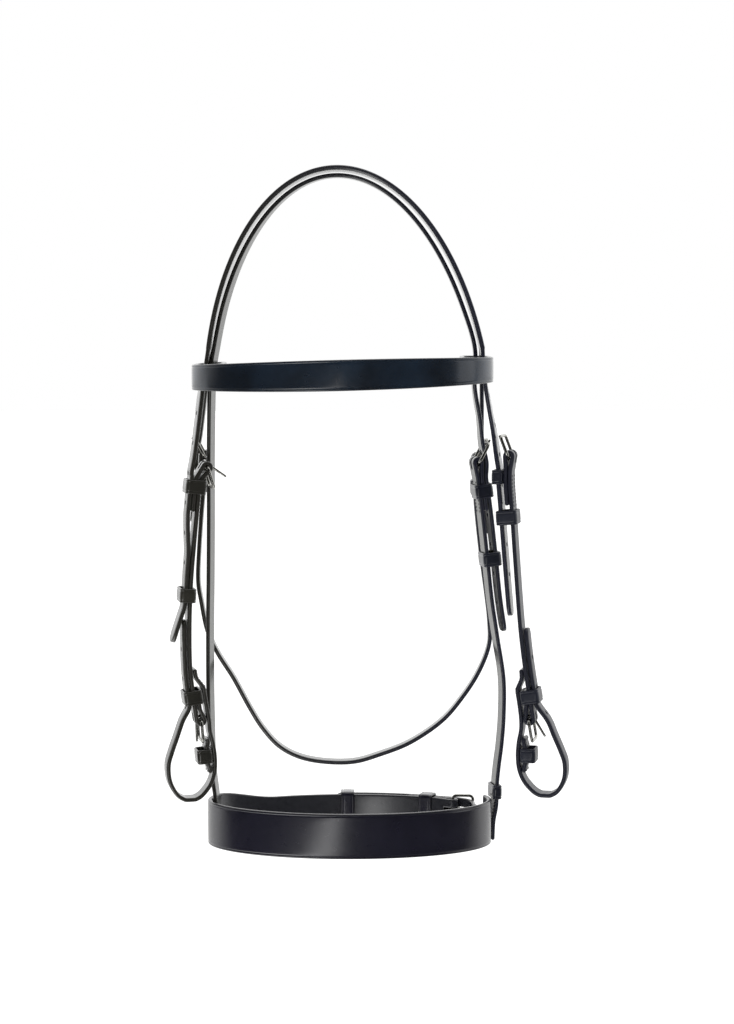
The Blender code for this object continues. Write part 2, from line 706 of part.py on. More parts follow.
def build_cheek(side, leather, metal, parts, cutters):
    """A cheekpiece with its top buckle, its bit buckle, its billet loop and its keepers."""
    tag = side["tag"]
    home = group("cheek_group" + tag, side["matrix"])
    seam = side["seam"]
    outward = side["outward"]
    main = offset_route(seam, -LAYER / 2)
    total = route_lengths(main)[-1]
    bit_bar = main[-1] - Vector((outward * FOLD_RADIUS, 0, 0))
    turned = side["fold_turn"]
    over = fold(turned, 180 + turned)
    under = fold(0, -180, bit_bar) if outward > 0 else fold(180, 360, bit_bar)
    beside = offset_route(main, -outward * LAYER)
    back = part_of_route(beside, total - FOLD_LENGTH, total - RETURN_LENGTH, 3)
    body = part_of_route(main, FOLD_LENGTH, total - FOLD_LENGTH, 22)
    route = chape_route(seam, CHAPE_LENGTH) + over + body + under + back
    item = strap("cheekpiece" + tag, route, CHEEK_WIDTH, leather, parts, home)
    cut_tongue_slot(item, "cheek_slot" + tag, cutters, home, Matrix.Rotation(-math.radians(turned), 4, "Y"))
    turn = Matrix.Rotation(math.pi, 4, "X") if outward > 0 else Matrix.Rotation(math.pi, 4, "Y")
    bit_matrix = Matrix.Translation(bit_bar) @ turn
    cut_tongue_slot(item, "bit_slot" + tag, cutters, home, bit_matrix)
    build_buckle("cheek_buckle_#" + tag, CHEEK_WIDTH, metal, parts, home, *side["tilts"])
    keeper_on("cheek_keeper" + tag, seam, side["keeper_place"], side["keeper_layers"], CHEEK_WIDTH, leather,
              parts, home)
    keeper_on("cheek_runner" + tag, seam, side["runner_place"], side["runner_layers"], CHEEK_WIDTH, leather,
              parts, home, RUNNER_SLACK)
    build_bit_end(side, bit_matrix, main, leather, metal, parts, cutters, home)


def build_bit_end(side, bit_matrix, main, leather, metal, parts, cutters, home):
    """The billet loop, the undone bit buckle and the two keepers."""
    tag = side["tag"]
    bit = group("bit_group" + tag, bit_matrix, home)
    seam = moved(bit_matrix.inverted(), reversed(offset_route(main, -side["outward"] * LAYER / 2)))
    lap = stepped_route(seam, BILLET_LAP_SHARES, 0.0, BILLET_LAP, -LAYER / 2, -2 * FOLD_RADIUS)
    at_bar = [Vector((-FOLD_RADIUS - LAYER, 0, 0))]
    tail_side = offset_route(seam, TAIL_LAYER * LAYER + TAIL_SLACK)
    tail = part_of_route(tail_side, FOLD_LENGTH, side["billet_tail"], 5)
    loop = []
    for down, sideways in LOOP_SHARES:
        lean = side["loop_lean"] * side["loop_drop"] * down
        loop.append(Vector((LOOP_CENTRE + LOOP_HALF_WIDTH * sideways + lean, 0.0, side["loop_drop"] * down)))
    bottom = [index for index, share in enumerate(LOOP_SHARES) if share[0] == 1.0]
    first = smooth_route(lap[-2:] + at_bar + loop[:bottom[0] + 1], 3)
    second = smooth_route(loop[bottom[1]:] + tail[:2], 3)
    route = lap[:-2] + first + second + tail[2:]
    billet = strap("bit_billet" + tag, route, BILLET_WIDTH, leather, parts, bit, end_tip=True)
    lengths = route_lengths(route)[-1]
    places = [lengths - place for place in hole_places(HOLE_PITCH, 3)]
    cut(billet, punch_mesh("billet_holes" + tag, route_frames(route, places), HOLE_DIAMETER, LEATHER),
        cutters, bit)
    build_buckle("bit_buckle_#" + tag, CHEEK_WIDTH, metal, parts, bit, side["bit_tilt"],
                 side["bit_tilt"] + side["bit_tongue_tilt"])
    layers = (-1, 2 + TAIL_SLACK / LAYER)
    keeper_on("bit_upper_keeper" + tag, seam, BIT_KEEPER_PLACE, layers, CHEEK_WIDTH, leather, parts, bit)
    inner_side = first[6:]
    place = EMPTY_KEEPER_PLACE
    inner_width = BILLET_WIDTH + 2 * TOUCH_GAP
    keeper = ring("bit_lower_keeper" + tag, EMPTY_KEEPER_DEPTH, inner_width, KEEPER_HEIGHT, leather,
                  parts, bit)
    direction = direction_at(inner_side, place)
    normal = side_of(direction)
    way = math.copysign(1.0, normal.x)
    shift = LEATHER / 2 + TOUCH_GAP + KEEPER_WALL + EMPTY_KEEPER_DEPTH / 2
    keeper.location = point_at(inner_side, place) + normal * shift * way
    keeper.rotation_euler = (0.0, math.atan2(-direction.x, -direction.z), 0.0)
    rise = (KEEPER_WALL + TOUCH_GAP) * way
    lining = stepped_route(inner_side, LINING_SHARES, place, LINING_REACH, LAYER * way, rise)
    strap("bit_lining" + tag, lining, BILLET_WIDTH, leather, parts, bit)


def build_throatlatch(leather, metal, parts, cutters):
    """The throatlatch with a fastened buckle at each end."""
    off = Matrix.Translation(OFF_THROAT_BAR) @ Matrix.Rotation(math.pi, 4, "Z")
    near = Matrix.Translation(NEAR_THROAT_BAR)
    throat = [OFF_THROAT_BAR]
    for side, down in THROAT_SHARES:
        throat.append(Vector((THROAT_HALF_SPAN * side, OFF_THROAT_BAR.y,
                              OFF_THROAT_BAR.z - THROAT_DROP * down)))
    throat.append(NEAR_THROAT_BAR)
    seam = smooth_route(throat, 4)
    off_seam = moved(off.inverted(), seam)
    near_seam = moved(near.inverted(), reversed(seam))
    main = offset_route(seam, LAYER / 2)
    total = route_lengths(main)[-1]
    route = moved(off, chape_route(off_seam, THROAT_CHAPE_LENGTH) + fold(0, 180))
    route += part_of_route(main, FOLD_LENGTH, total - FOLD_LENGTH, 60)
    near_end = chape_route(near_seam, THROAT_CHAPE_LENGTH) + fold(0, 180)
    route += moved(near, reversed(near_end))
    item = strap("throatlatch", route, THROAT_WIDTH, leather, parts)
    cut_tongue_slot(item, "off_throat_slot", cutters, None, off)
    cut_tongue_slot(item, "near_throat_slot", cutters, None, near)
    off_home = group("throat_group_off", off)
    near_home = group("throat_group_near", near)
    for tag, end_seam, home in (("_off", off_seam, off_home), ("_near", near_seam, near_home)):
        build_buckle("throat_buckle_#" + tag, THROAT_WIDTH, metal, parts, home)
        keeper_on("throat_keeper" + tag, end_seam, KEEPER_PLACE, (-1, 2), THROAT_WIDTH, leather, parts, home)
    return (off, off_seam), (near, near_seam)


def hanger_matrix():
    """The frame of the hanger's buckle, turned so that the hanger's inner face looks a little forward."""
    return Matrix.Translation(HANGER_BAR) @ Matrix.Rotation(HANGER_TURN, 4, "Z")


def build_headstrap(leather, parts, cutters, hanger_seam):
    """The noseband's head strap, from inside the off end of the noseband to the hanger's buckle."""
    off = []
    for down, side, back in HEADSTRAP_SHARES:
        off.append(Vector((-HEADSTRAP_REACH * side, HEADSTRAP_SETBACK * back, -HEADSTRAP_END * down)))
    arch = arch_route(ARCH_HALF_WIDTH - LAYER - TOUCH_GAP, LEATHER / 2, ARCH_SLACK)
    home = hanger_matrix()
    lead = [Vector((HEADSTRAP_REACH * side, HEADSTRAP_SETBACK * back, -HEADSTRAP_END * down))
            for side, back, down in HEADSTRAP_LEAD_SHARES]
    near = lead + moved(home, [crossing()] + tail_route(hanger_seam, HANGER_TAIL))
    whole = smooth_route(list(reversed(off))[:-1] + [off[0]] + arch[::2] + near, 3)
    count = round(route_lengths(whole)[-1] / HEADSTRAP_SPACING)
    route = even_points(whole, count)
    total = route_lengths(route)[-1]

    def across(share):
        """Level at the poll, and turned down the two sides so that the inner faces look forward."""
        point = point_at(route, share * total)
        if point.x > 0:
            near_buckle = (HANGER_BAR.z - point.z) / HEADSTRAP_TURN_REACH
            turn = HANGER_TURN * min(max(1 + near_buckle, 0.0), 1.0) ** 2
        else:
            turn = HEADSTRAP_TURN * max(point.x / HEADSTRAP_TURN_REACH, -1.0)
            left = min((point.z + HEADSTRAP_END) / HEADSTRAP_SETTLE_HEIGHT, 1.0)
            turn *= HEADSTRAP_END_TURN_SHARE + (1 - HEADSTRAP_END_TURN_SHARE) * left
        return Vector((-math.sin(turn), math.cos(turn), 0.0))

    item = strap("noseband_headstrap", route, HEADSTRAP_WIDTH, leather, parts, across=across, end_tip=True)
    places = [total - place for place in hole_places(HOLE_PITCH, 5)]
    frames = route_frames(route, places, across(1.0))
    cut(item, punch_mesh("headstrap_holes", frames, HOLE_DIAMETER, LEATHER), cutters)
    used = home @ used_hole_frame(moved(home.inverted(), near[len(lead):]))
    cut(item, punch_mesh("headstrap_used_hole", [used], USED_HOLE_LENGTH, LEATHER), cutters)


def build_hanger(leather, metal, parts, cutters, seam):
    """The near hanger of the noseband, with its buckle and keepers."""
    home = group("hanger_group", hanger_matrix())
    main = offset_route(seam, -LAYER / 2)
    total = route_lengths(main)[-1]
    body = part_of_route(main, FOLD_LENGTH, total, 30)
    route = chape_route(seam, CHAPE_LENGTH) + fold(0, 180) + body
    item = strap("noseband_hanger", route, HEADSTRAP_WIDTH, leather, parts, home)
    cut_tongue_slot(item, "hanger_slot", cutters, home)
    build_buckle("hanger_buckle_#", HEADSTRAP_WIDTH, metal, parts, home)
    keeper_on("hanger_keeper", seam, KEEPER_PLACE, (-1, 2), HEADSTRAP_WIDTH, leather, parts, home)
    keeper_on("hanger_runner", seam, HANGER_RUNNER_PLACE, (-1, 2), HEADSTRAP_WIDTH, leather, parts, home,
              RUNNER_SLACK)
    box = ring("noseband_box_keeper", LEATHER + 2 * KEEPER_SLACK, HEADSTRAP_WIDTH + 2 * KEEPER_SLACK,
               KEEPER_HEIGHT, leather, parts, home)
    direction = direction_at(main, BOX_KEEPER_DROP)
    box.location = point_at(main, BOX_KEEPER_DROP)
    box.rotation_euler = (0.0, math.atan2(-direction.x, -direction.z), 0.0)


def browband_arc(turn, inset=0.0):
    """A point of the browband's bowed front, at a turn from the off side."""
    half = BROWBAND_HALF_SPAN - inset
    bow = BROWBAND_BOW - inset
    return Vector((BROWBAND_CENTRE.x - half * math.cos(turn), BROWBAND_CENTRE.y - bow * math.sin(turn), 0.0))


def browband_end():
    """The loop at the off end, from its stitched tail round the headpiece to the front."""
    inset = BROWBAND_LEATHER + 2 * TOUCH_GAP
    low, high = BROWBAND_LAP_ANGLES
    points = [browband_arc(high + (low - high) * step / 3, inset) for step in range(4)]
    loop_width = BROWBAND_HALF_SPAN - BROWBAND_INNER
    for across_share, back_share in BROWBAND_LOOP_SHARES:
        points.append(Vector((BROWBAND_CENTRE.x - BROWBAND_INNER - loop_width * across_share,
                              BROWBAND_CENTRE.y + BROWBAND_REAR * back_share, 0.0)))
    return points


def build_browband(leather, parts):
    """The browband, whose folded ends go round the headpiece."""
    off = browband_end()
    near = [Vector((2 * BROWBAND_CENTRE.x - point.x, point.y, 0.0)) for point in reversed(off)]
    arc = [browband_arc(math.pi * step / 16) for step in range(1, 16)]
    route = smooth_route(off + arc + near, 2)
    for point in route:
        share = (point.x - BROWBAND_CENTRE.x) / BROWBAND_HALF_SPAN
        point.z = -BROWBAND_DROP + BROWBAND_RISE * share
    total = route_lengths(route)[-1]

    def width(share):
        """Deeper in the middle than at the ends."""
        aside = (point_at(route, share * total).x - BROWBAND_CENTRE.x) / BROWBAND_HALF_SPAN
        return BROWBAND_CENTRE_WIDTH - (BROWBAND_CENTRE_WIDTH - BROWBAND_END_WIDTH) * aside ** 2

    strap("browband", route, width, leather, parts, across=Vector((0, 0, 1)), thickness=BROWBAND_LEATHER)


def noseband_point(angle, outward=0.0):
    """A point of the noseband's ring at an angle from the near side towards the rear."""
    normal = Vector((math.cos(angle) / NOSEBAND_HALF_WIDTH, math.sin(angle) / NOSEBAND_HALF_DEPTH, 0.0))
    place = Vector((NOSEBAND_HALF_WIDTH * math.cos(angle), NOSEBAND_HALF_DEPTH * math.sin(angle), 0.0))
    return NOSEBAND_CENTRE + place + normal.normalized() * outward


def chin_matrix():
    """The chin buckle's frame: X to the rear, Y up and Z along the strap to the near side."""
    origin = noseband_point(CHIN_BAR_ANGLE, LAYER / 2)
    along = noseband_point(CHIN_BAR_ANGLE - SMALL_ANGLE) - noseband_point(CHIN_BAR_ANGLE + SMALL_ANGLE)
    along.normalize()
    up = Vector((0, 0, 1))
    outward = up.cross(along)
    return Matrix.Translation(origin) @ Matrix((outward, up, along)).transposed().to_4x4()


def build_noseband(leather, metal, parts, cutters):
    """The noseband with its chin strap, and the billet that buckles to it."""
    matrix = chin_matrix()
    home = group("chin_group", matrix)
    inverse = matrix.inverted()
    sweep = math.tau - CHIN_BAR_ANGLE + NOSEBAND_END_ANGLE
    ring_angles = [CHIN_BAR_ANGLE + sweep * step / NOSEBAND_STEPS for step in range(NOSEBAND_STEPS + 1)]
    seam = moved(inverse, [noseband_point(angle, LAYER / 2) for angle in ring_angles])
    main = moved(inverse, [noseband_point(angle) for angle in ring_angles])
    lengths = route_lengths(main)
    kept = [point for point, place in zip(main, lengths) if place > FOLD_LENGTH]
    chape = chape_route(seam, CHAPE_LENGTH)
    route = chape + fold(0, 180) + kept
    total = route_lengths(route)[-1]
    folded = route_lengths(chape + fold(0, 180) + kept[:1])[-1] - FOLD_LENGTH
    taper = []
    for angle in reversed(NOSEBAND_TAPER_ANGLES):
        nearest = min(range(len(main)), key=lambda index: abs(ring_angles[index] - math.tau - angle))
        taper.append(folded + lengths[nearest])

    def width(share):
        """Narrow at the chin, full depth from the off side to the near end."""
        along = (share * total - taper[0]) / (taper[1] - taper[0])
        blend = min(max(along, 0.0), 1.0)
        blend = blend * blend * (3 - 2 * blend)
        return CHIN_WIDTH + (NOSEBAND_WIDTH - CHIN_WIDTH) * blend

    item = strap("noseband", route, width, leather, parts, home)
    cut_tongue_slot(item, "chin_slot", cutters, home)
    build_buckle("chin_buckle_#", CHIN_WIDTH, metal, parts, home)
    steps = 8
    inner = [noseband_point(CHIN_BILLET_ANGLE + (CHIN_LEAD_ANGLE - CHIN_BILLET_ANGLE) * step / steps,
                            -LEATHER - TOUCH_GAP) for step in range(steps + 1)]
    billet_route = smooth_route(moved(inverse, inner) + [crossing()] + tail_route(seam, CHIN_TAIL, 14), 2)
    billet = strap("chin_billet", billet_route, CHIN_WIDTH, leather, parts, home, end_tip=True)
    length = route_lengths(billet_route)[-1]
    places = [length - place for place in hole_places(HOLE_PITCH, 3)]
    cut(billet, punch_mesh("chin_holes", route_frames(billet_route, places), HOLE_DIAMETER, LEATHER),
        cutters, home)
    used = used_hole_frame(billet_route)
    cut(billet, punch_mesh("chin_used_hole", [used], USED_HOLE_LENGTH, LEATHER), cutters, home)
    keeper_on("chin_keeper", seam, KEEPER_PLACE, (-1, 2), CHIN_WIDTH, leather, parts, home)
    keeper_on("chin_runner", seam, CHIN_RUNNER_PLACE, (-1, 2), CHIN_WIDTH, leather, parts, home,
              RUNNER_SLACK)


def crown_ends():
    """Where the crown ends on the two sides."""
    arch = arch_route(ARCH_HALF_WIDTH, CROWN_CENTRE_HEIGHT, 0.0)
    return arch[0], arch[-1]


def leg_route(start, lead, end, shifts):
    """A smooth route from the crown's end, by a lead of shares of the way, on to a strap's end."""
    target = end[0]
    way = [start]
    for down, sideways, back in lead:
        way.append(Vector((start.x + (target.x - start.x) * sideways,
                           start.y + shifts + (target.y - start.y - shifts) * back,
                           start.z + (target.z - start.z) * down)))
    way[0] = start + Vector((0, shifts, 0))
    return smooth_route(way + end, 3)


def level_at(table, share):
    """The level that a table of shares and levels gives at a share."""
    for (low, first), (high, second) in zip(table, table[1:]):
        if share <= high:
            return first + (second - first) * (share - low) / (high - low)
    return table[-1][1]


def passing_tail(side):
    """A cheek point that passes outside its undone buckle and goes down over the chape."""
    lead = [Vector((out, 0.0, up)) for out, up in side["passing"]]
    lifted = offset_route(side["seam"], lambda share: LAYER * level_at(side["tail_layers"], share))
    return lead + part_of_route(lifted, side["tail_start"], side["tail"], 18)


def cheek_sides():
    """What differs between the off and the near cheek."""
    off = {
        "tag": "_off",
        "outward": 1,
        "matrix": Matrix.Translation(OFF_CHEEK_BAR) @ Matrix.Rotation(math.pi + CHEEK_YAW, 4, "Z"),
        "seam": table_route(OFF_CHEEK_SHARES, OFF_CHEEK_BOW, OFF_CHEEK_DROP),
        "fold_turn": OFF_FOLD_TURN,
        "tilts": OFF_CHEEK_TILTS,
        "passing": OFF_PASSING,
        "tail_start": OFF_TAIL_START,
        "tail": OFF_CHEEK_TAIL,
        "throat_tail": OFF_THROAT_TAIL,
        "tail_layers": OFF_TAIL_LAYERS,
        "holes": OFF_HOLE_SHARES,
        "lead": OFF_LEAD_SHARES,
        "turn_share": OFF_TURN_SHARE,
        "keeper_place": OFF_KEEPER_PLACE,
        "keeper_layers": OFF_KEEPER_LAYERS,
        "runner_place": OFF_RUNNER_PLACE,
        "runner_layers": OFF_RUNNER_LAYERS,
        "loop_lean": 0.0,
        "loop_drop": OFF_LOOP_DROP,
        "billet_tail": OFF_BILLET_TAIL,
        "bit_tilt": OFF_BIT_TILT,
        "bit_tongue_tilt": OFF_BIT_TONGUE_TILT,
    }
    near = {
        "tag": "_near",
        "outward": -1,
        "matrix": Matrix.Translation(NEAR_CHEEK_BAR) @ Matrix.Rotation(math.pi - CHEEK_YAW, 4, "Z"),
        "seam": table_route(NEAR_CHEEK_SHARES, NEAR_CHEEK_BOW, NEAR_CHEEK_DROP),
        "fold_turn": 0,
        "tilts": NEAR_CHEEK_TILTS,
        "passing": NEAR_PASSING,
        "tail_start": FOLD_LENGTH,
        "tail": NEAR_CHEEK_TAIL,
        "throat_tail": NEAR_THROAT_TAIL,
        "tail_layers": NEAR_TAIL_LAYERS,
        "holes": NEAR_HOLE_SHARES,
        "lead": NEAR_LEAD_SHARES,
        "turn_share": NEAR_TURN_SHARE,
        "keeper_place": NEAR_KEEPER_PLACE,
        "keeper_layers": NEAR_KEEPER_LAYERS,
        "runner_place": NEAR_RUNNER_PLACE,
        "runner_layers": NEAR_RUNNER_LAYERS,
        "loop_lean": NEAR_LOOP_LEAN_SHARE,
        "loop_drop": NEAR_LOOP_DROP,
        "billet_tail": NEAR_BILLET_TAIL,
        "bit_tilt": NEAR_BIT_TILT,
        "bit_tongue_tilt": NEAR_BIT_TONGUE_TILT,
    }
    return off, near


def main():
    """Builds the bridle."""
    clear_scene()
    parts = make_collection("exercise_bridle")
    cutters = make_collection("cutters")
    leather = make_material("black_bridle_leather", (0.012, 0.013, 0.016), 0.42, 0.0)
    metal = make_material("stainless_steel", (0.62, 0.63, 0.62), 0.25, 1.0)
    sides = cheek_sides()
    throat_ends = build_throatlatch(leather, metal, parts, cutters)
    hanger_seam = table_route(HANGER_SHARES, HANGER_BOW, HANGER_DROP)
    front_shift = (CHEEK_WIDTH - CROWN_WIDTH) / 2
    rear_shift = (CROWN_WIDTH - THROAT_WIDTH) / 2
    legs = []
    round_holes = []
    long_holes = []
    for side, crown, (throat, throat_seam) in zip(sides, crown_ends(), throat_ends):
        front = leg_route(crown, side["lead"], moved(side["matrix"], passing_tail(side)), front_shift)
        throat_point = tail_route(throat_seam, side["throat_tail"], 6)
        throat_end = moved(throat, [crossing()] + throat_point)
        rear = leg_route(crown, THROAT_LEAD_SHARES, throat_end, rear_shift)
        across = side["matrix"].to_3x3() @ Vector((0, -1, 0))
        legs.append(leg_rows(front, rear, across, Vector((0, 1, 0)), side["turn_share"]))
        bar_place = route_lengths(front)[-1] - side["tail"]
        places = [bar_place + HOLE_PITCH * share for share in side["holes"]]
        round_holes += route_frames(front, places, across)
        length = route_lengths(rear)[-1]
        round_holes += route_frames(rear, [length - place for place in hole_places(THROAT_HOLE_PLACE, 2)])
        long_holes.append(throat @ used_hole_frame(moved(throat.inverted(), rear)))
    build_headpiece(leather, parts, cutters, legs, (round_holes, long_holes))
    build_headstrap(leather, parts, cutters, hanger_seam)
    build_hanger(leather, metal, parts, cutters, hanger_seam)
    build_browband(leather, parts)
    build_noseband(leather, metal, parts, cutters)
    for side in sides:
        build_cheek(side, leather, metal, parts, cutters)


main()
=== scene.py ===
"""Looks of a black leather exercise bridle that hangs from its crown.

X runs to the horse's near side, Y to the rear of the head and Z up; sizes are in metres.
Every strap is a grid of rows along its route and columns across it, with a face and a back.
A buckle's own frame has X to where it faces, Y across the strap and Z from heel bar to far bar.
"""
import json
import math

import bpy
import numpy as np
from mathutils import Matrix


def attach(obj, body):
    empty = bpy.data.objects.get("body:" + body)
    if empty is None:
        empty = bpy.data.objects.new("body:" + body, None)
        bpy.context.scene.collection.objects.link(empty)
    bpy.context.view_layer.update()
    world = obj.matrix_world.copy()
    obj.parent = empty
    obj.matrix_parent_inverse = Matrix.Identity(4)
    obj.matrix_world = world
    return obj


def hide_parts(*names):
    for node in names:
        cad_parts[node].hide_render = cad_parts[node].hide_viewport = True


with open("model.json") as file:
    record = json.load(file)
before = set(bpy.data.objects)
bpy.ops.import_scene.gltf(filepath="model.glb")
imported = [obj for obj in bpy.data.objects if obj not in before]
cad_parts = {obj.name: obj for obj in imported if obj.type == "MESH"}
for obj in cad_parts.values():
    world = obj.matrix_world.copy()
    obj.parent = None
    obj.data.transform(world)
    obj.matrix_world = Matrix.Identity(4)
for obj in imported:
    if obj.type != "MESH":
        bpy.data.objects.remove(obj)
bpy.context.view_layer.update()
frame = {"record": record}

MM = 0.001
Y_AXIS = np.array((0.0, 1.0, 0.0))
Z_AXIS = np.array((0.0, 0.0, 1.0))

# Leather and the layers of a buckled strap
LEATHER = 3.5 * MM
CROWN_LEATHER = 4.0 * MM
BROWBAND_LEATHER = 3.0 * MM
KEEPER_WALL = 1.8 * MM
KEEPER_CORNER = 0.9 * KEEPER_WALL
KEEPER_HEIGHT = 12.0 * MM
KEEPER_SLACK = 0.5 * MM
RUNNER_SLACK = 0.7 * MM
TOUCH_GAP = 0.3 * MM
LAYER = LEATHER + TOUCH_GAP
OVER_CHAPE = 1.5 * LAYER
HOLE_DIAMETER = 3.8 * MM
HOLE_PITCH = 25.4 * MM
USED_HOLE_LENGTH = 9.0 * MM
CHIN_USED_HOLE_LENGTH = 10.5 * MM
SLOT_LENGTH = 15.0 * MM
SLOT_WIDTH = 4.6 * MM
SLOT_SHIFT = 1.0 * MM
PUNCH_REACH = 6.0 * MM
PUNCH_SIDES = 24

# Widths of the straps
CROWN_WIDTH = 38.0 * MM
CHEEK_WIDTH = 18.0 * MM
HEADSTRAP_WIDTH = 16.0 * MM
THROAT_WIDTH = 13.0 * MM
BILLET_WIDTH = 16.0 * MM
CHIN_WIDTH = 19.0 * MM
BROWBAND_CENTRE_WIDTH = 25.4 * MM
BROWBAND_END_WIDTH = 21.0 * MM
NOSEBAND_WIDTH = 38.1 * MM

# Buckles and folds
BAR_RADIUS = 1.3 * MM
TONGUE_RADIUS = 1.1 * MM
TONGUE_EYE = BAR_RADIUS + 0.35 * MM + TONGUE_RADIUS
FRAME_LENGTH = 18.0 * MM
FRAME_CORNER = 3.4 * MM
FRAME_SIDE_GAP = 1.6 * MM
TONGUE_OVERRUN = 1.5 * MM
TONGUE_TAPER = 12.0 * MM
TONGUE_TAPER_SHARE = 0.86
WIRE_END = 1.0 * MM
WIRE_SIDES = 14
FRAME_TILT = math.radians(28)
FOLD_RADIUS = BAR_RADIUS + TOUCH_GAP + LEATHER / 2
FOLD_LENGTH = 13.0 * MM
CHAPE_LENGTH = 42.0 * MM
THROAT_CHAPE_LENGTH = 30.0 * MM
KEEPER_PLACE = 25.0 * MM

# The crown's arch
ARCH_HALF_WIDTH = 120.5 * MM
ARCH_HEIGHT = 215.0 * MM
ARCH_LEAN_SHARE = 0.045
ARCH_LEAN_HEIGHT = 60.0 * MM
ARCH_SLACK = 2.4 * MM
SPLIT_DEPTH = 150.0 * MM
CROWN_GAP = 2.1 * MM
CROWN_CENTRE_HEIGHT = LEATHER + CROWN_LEATHER / 2 + CROWN_GAP

# Heel bars of the buckles
OFF_CHEEK_BAR = np.array((-114.0, -10.1, -242.5)) * MM
NEAR_CHEEK_BAR = np.array((143.0, -11.0, -233.0)) * MM
OFF_THROAT_BAR = np.array((-117.65, 38.0, -236.0)) * MM
NEAR_THROAT_BAR = np.array((117.0, 38.0, -238.0)) * MM
HANGER_BAR = np.array((115.5, 13.0, -240.0)) * MM
CHEEK_YAW = math.radians(13)
HANGER_TURN = math.radians(12)

# Cheeks: seams as shares of drop and bow, undone top buckles, the points that pass them, keepers and holes
RETURN_LENGTH = 25.0 * MM
SIDES = {
    "off": dict(outward=1, bar=OFF_CHEEK_BAR, drop=215.5 * MM, bow=17.6 * MM,
                seam=((0, 0), (0.0135, 0.1875), (0.029, 0.34), (0.049, 0.4375), (0.072, 0.489),
                      (0.123, 0.545), (0.29, 0.744), (0.447, 0.915), (0.603, 1.0), (0.76, 1.0),
                      (0.854, 0.915), (0.927, 0.795), (1.0, 0.676)),
                fold_turn=48, tilts=(math.radians(-163), math.radians(-125)),
                passing=((10.7, 8.7), (13.1, -3.9)), tail_start=16.0 * MM, tail=158.0 * MM,
                tail_layers=((0.0, 1.5), (0.2, 1.5), (0.27, 1.1), (0.35, 0.55), (0.5, 0.5),
                             (0.55, 0.65), (0.61, 1.7), (0.67, 2.8), (0.74, 3.8)),
                holes=(-1.5, -0.5, 0.5, 1.5, 2.5, 3.5), leads=((0.44, 0.3, 0.36), (0.77, 0.75, 0.75)),
                turn_share=0.16, keeper=19.5 * MM, keeper_layers=(-1.5, 2), runner=111.5 * MM,
                runner_layers=(-1.1, 1.3), lean=0.0, loop_drop=68.0 * MM, billet_tail=87.0 * MM,
                bit_tilt=math.radians(-4), tongue_tilt=math.radians(3)),
    "near": dict(outward=-1, bar=NEAR_CHEEK_BAR, drop=224.0 * MM, bow=20.2 * MM,
                 seam=((0, 0), (0.06, 0.04), (0.11, 0.035), (0.2, -0.042), (0.39, -0.196), (0.59, -0.37),
                       (0.69, -0.477), (0.79, -0.62), (0.88, -0.78), (0.94, -0.89), (1.0, -1.0)),
                 fold_turn=0, tilts=(math.radians(21), math.radians(21)),
                 passing=((14.4, 22.0), (11.0, 0.0)), tail_start=FOLD_LENGTH, tail=137.0 * MM,
                 tail_layers=((0.0, 2.2), (1.0, 1.5)),
                 holes=(-2, -1, 0, 1, 2, 3, 4), leads=((0.2, 0.2, 0.36), (0.66, 0.7, 0.75)),
                 turn_share=0.4, keeper=18.0 * MM, keeper_layers=(1.65, 2.95), runner=52.0 * MM,
                 runner_layers=(-1, 2.5), lean=0.07, loop_drop=64.5 * MM, billet_tail=78.0 * MM,
                 bit_tilt=math.radians(10), tongue_tilt=math.radians(22)),
}

# Billet loops that hold the bit
BILLET_LAP = 44.0 * MM
LOOP_CENTRE = 8.0 * MM
LOOP_HALF_WIDTH = 20.0 * MM
LOOP_INNER = ((0.14, -0.79), (0.3, -0.92), (0.48, -1.0), (0.66, -0.98), (0.82, -0.8), (0.95, -0.45),
              (1.0, -0.17))
LOOP_OUTER = ((1.0, 0.28), (0.93, 0.62), (0.76, 0.92), (0.56, 0.98), (0.4, 0.84), (0.2, 0.6), (0.0, 0.36))
TAIL_SLACK = 0.5 * MM
BIT_KEEPER_PLACE = 20.0 * MM
EMPTY_KEEPER_PLACE = 31.0 * MM
EMPTY_KEEPER_DEPTH = 9.5 * MM
BILLET_LAP_SHARES = ((1.0, 0.0), (0.9, 0.02), (0.8, 0.15), (0.69, 0.6), (0.61, 0.87), (0.45, 0.89),
                     (0.3, 0.9))
LINING_REACH = 16.0 * MM
LINING_SHARES = ((-1.0, 0.0), (-0.75, 0.1), (-0.45, 1.0), (0.45, 1.0), (0.75, 0.1), (1.0, 0.0))

# Head strap and hanger of the noseband
HEADSTRAP_REACH = 112.9 * MM
HEADSTRAP_END = 562.0 * MM
HEADSTRAP_SETBACK = 13.0 * MM
HEADSTRAP_SHARES = ((0.3, 0.966, 0.15), (0.41, 0.984, 0.9), (0.50, 0.987, 1.0), (0.6, 0.992, 1.0),
                    (0.68, 0.998, 1.0), (0.79, 0.998, 0.95), (0.89, 0.982, 0.75), (0.945, 0.95, 0.5),
                    (1.0, 0.95, 0.35))
HEADSTRAP_LEAD_SHARES = ((0.31, 1.0, 0.35), (0.36, 1.04, 0.8))
HEADSTRAP_TURN = math.radians(12)
HEADSTRAP_TURN_REACH = 100.0 * MM
HEADSTRAP_SETTLE_HEIGHT = 100.0 * MM
HEADSTRAP_END_TURN_SHARE = 0.3
HANGER_TAIL = 148.0 * MM
HANGER_REACH = 60.0 * MM
HANGER_DROP = 327.0 * MM
HANGER_BOW = 27.0 * MM
HANGER_RUNNER_PLACE = 84.0 * MM
BOX_KEEPER_DROP = 287.0 * MM
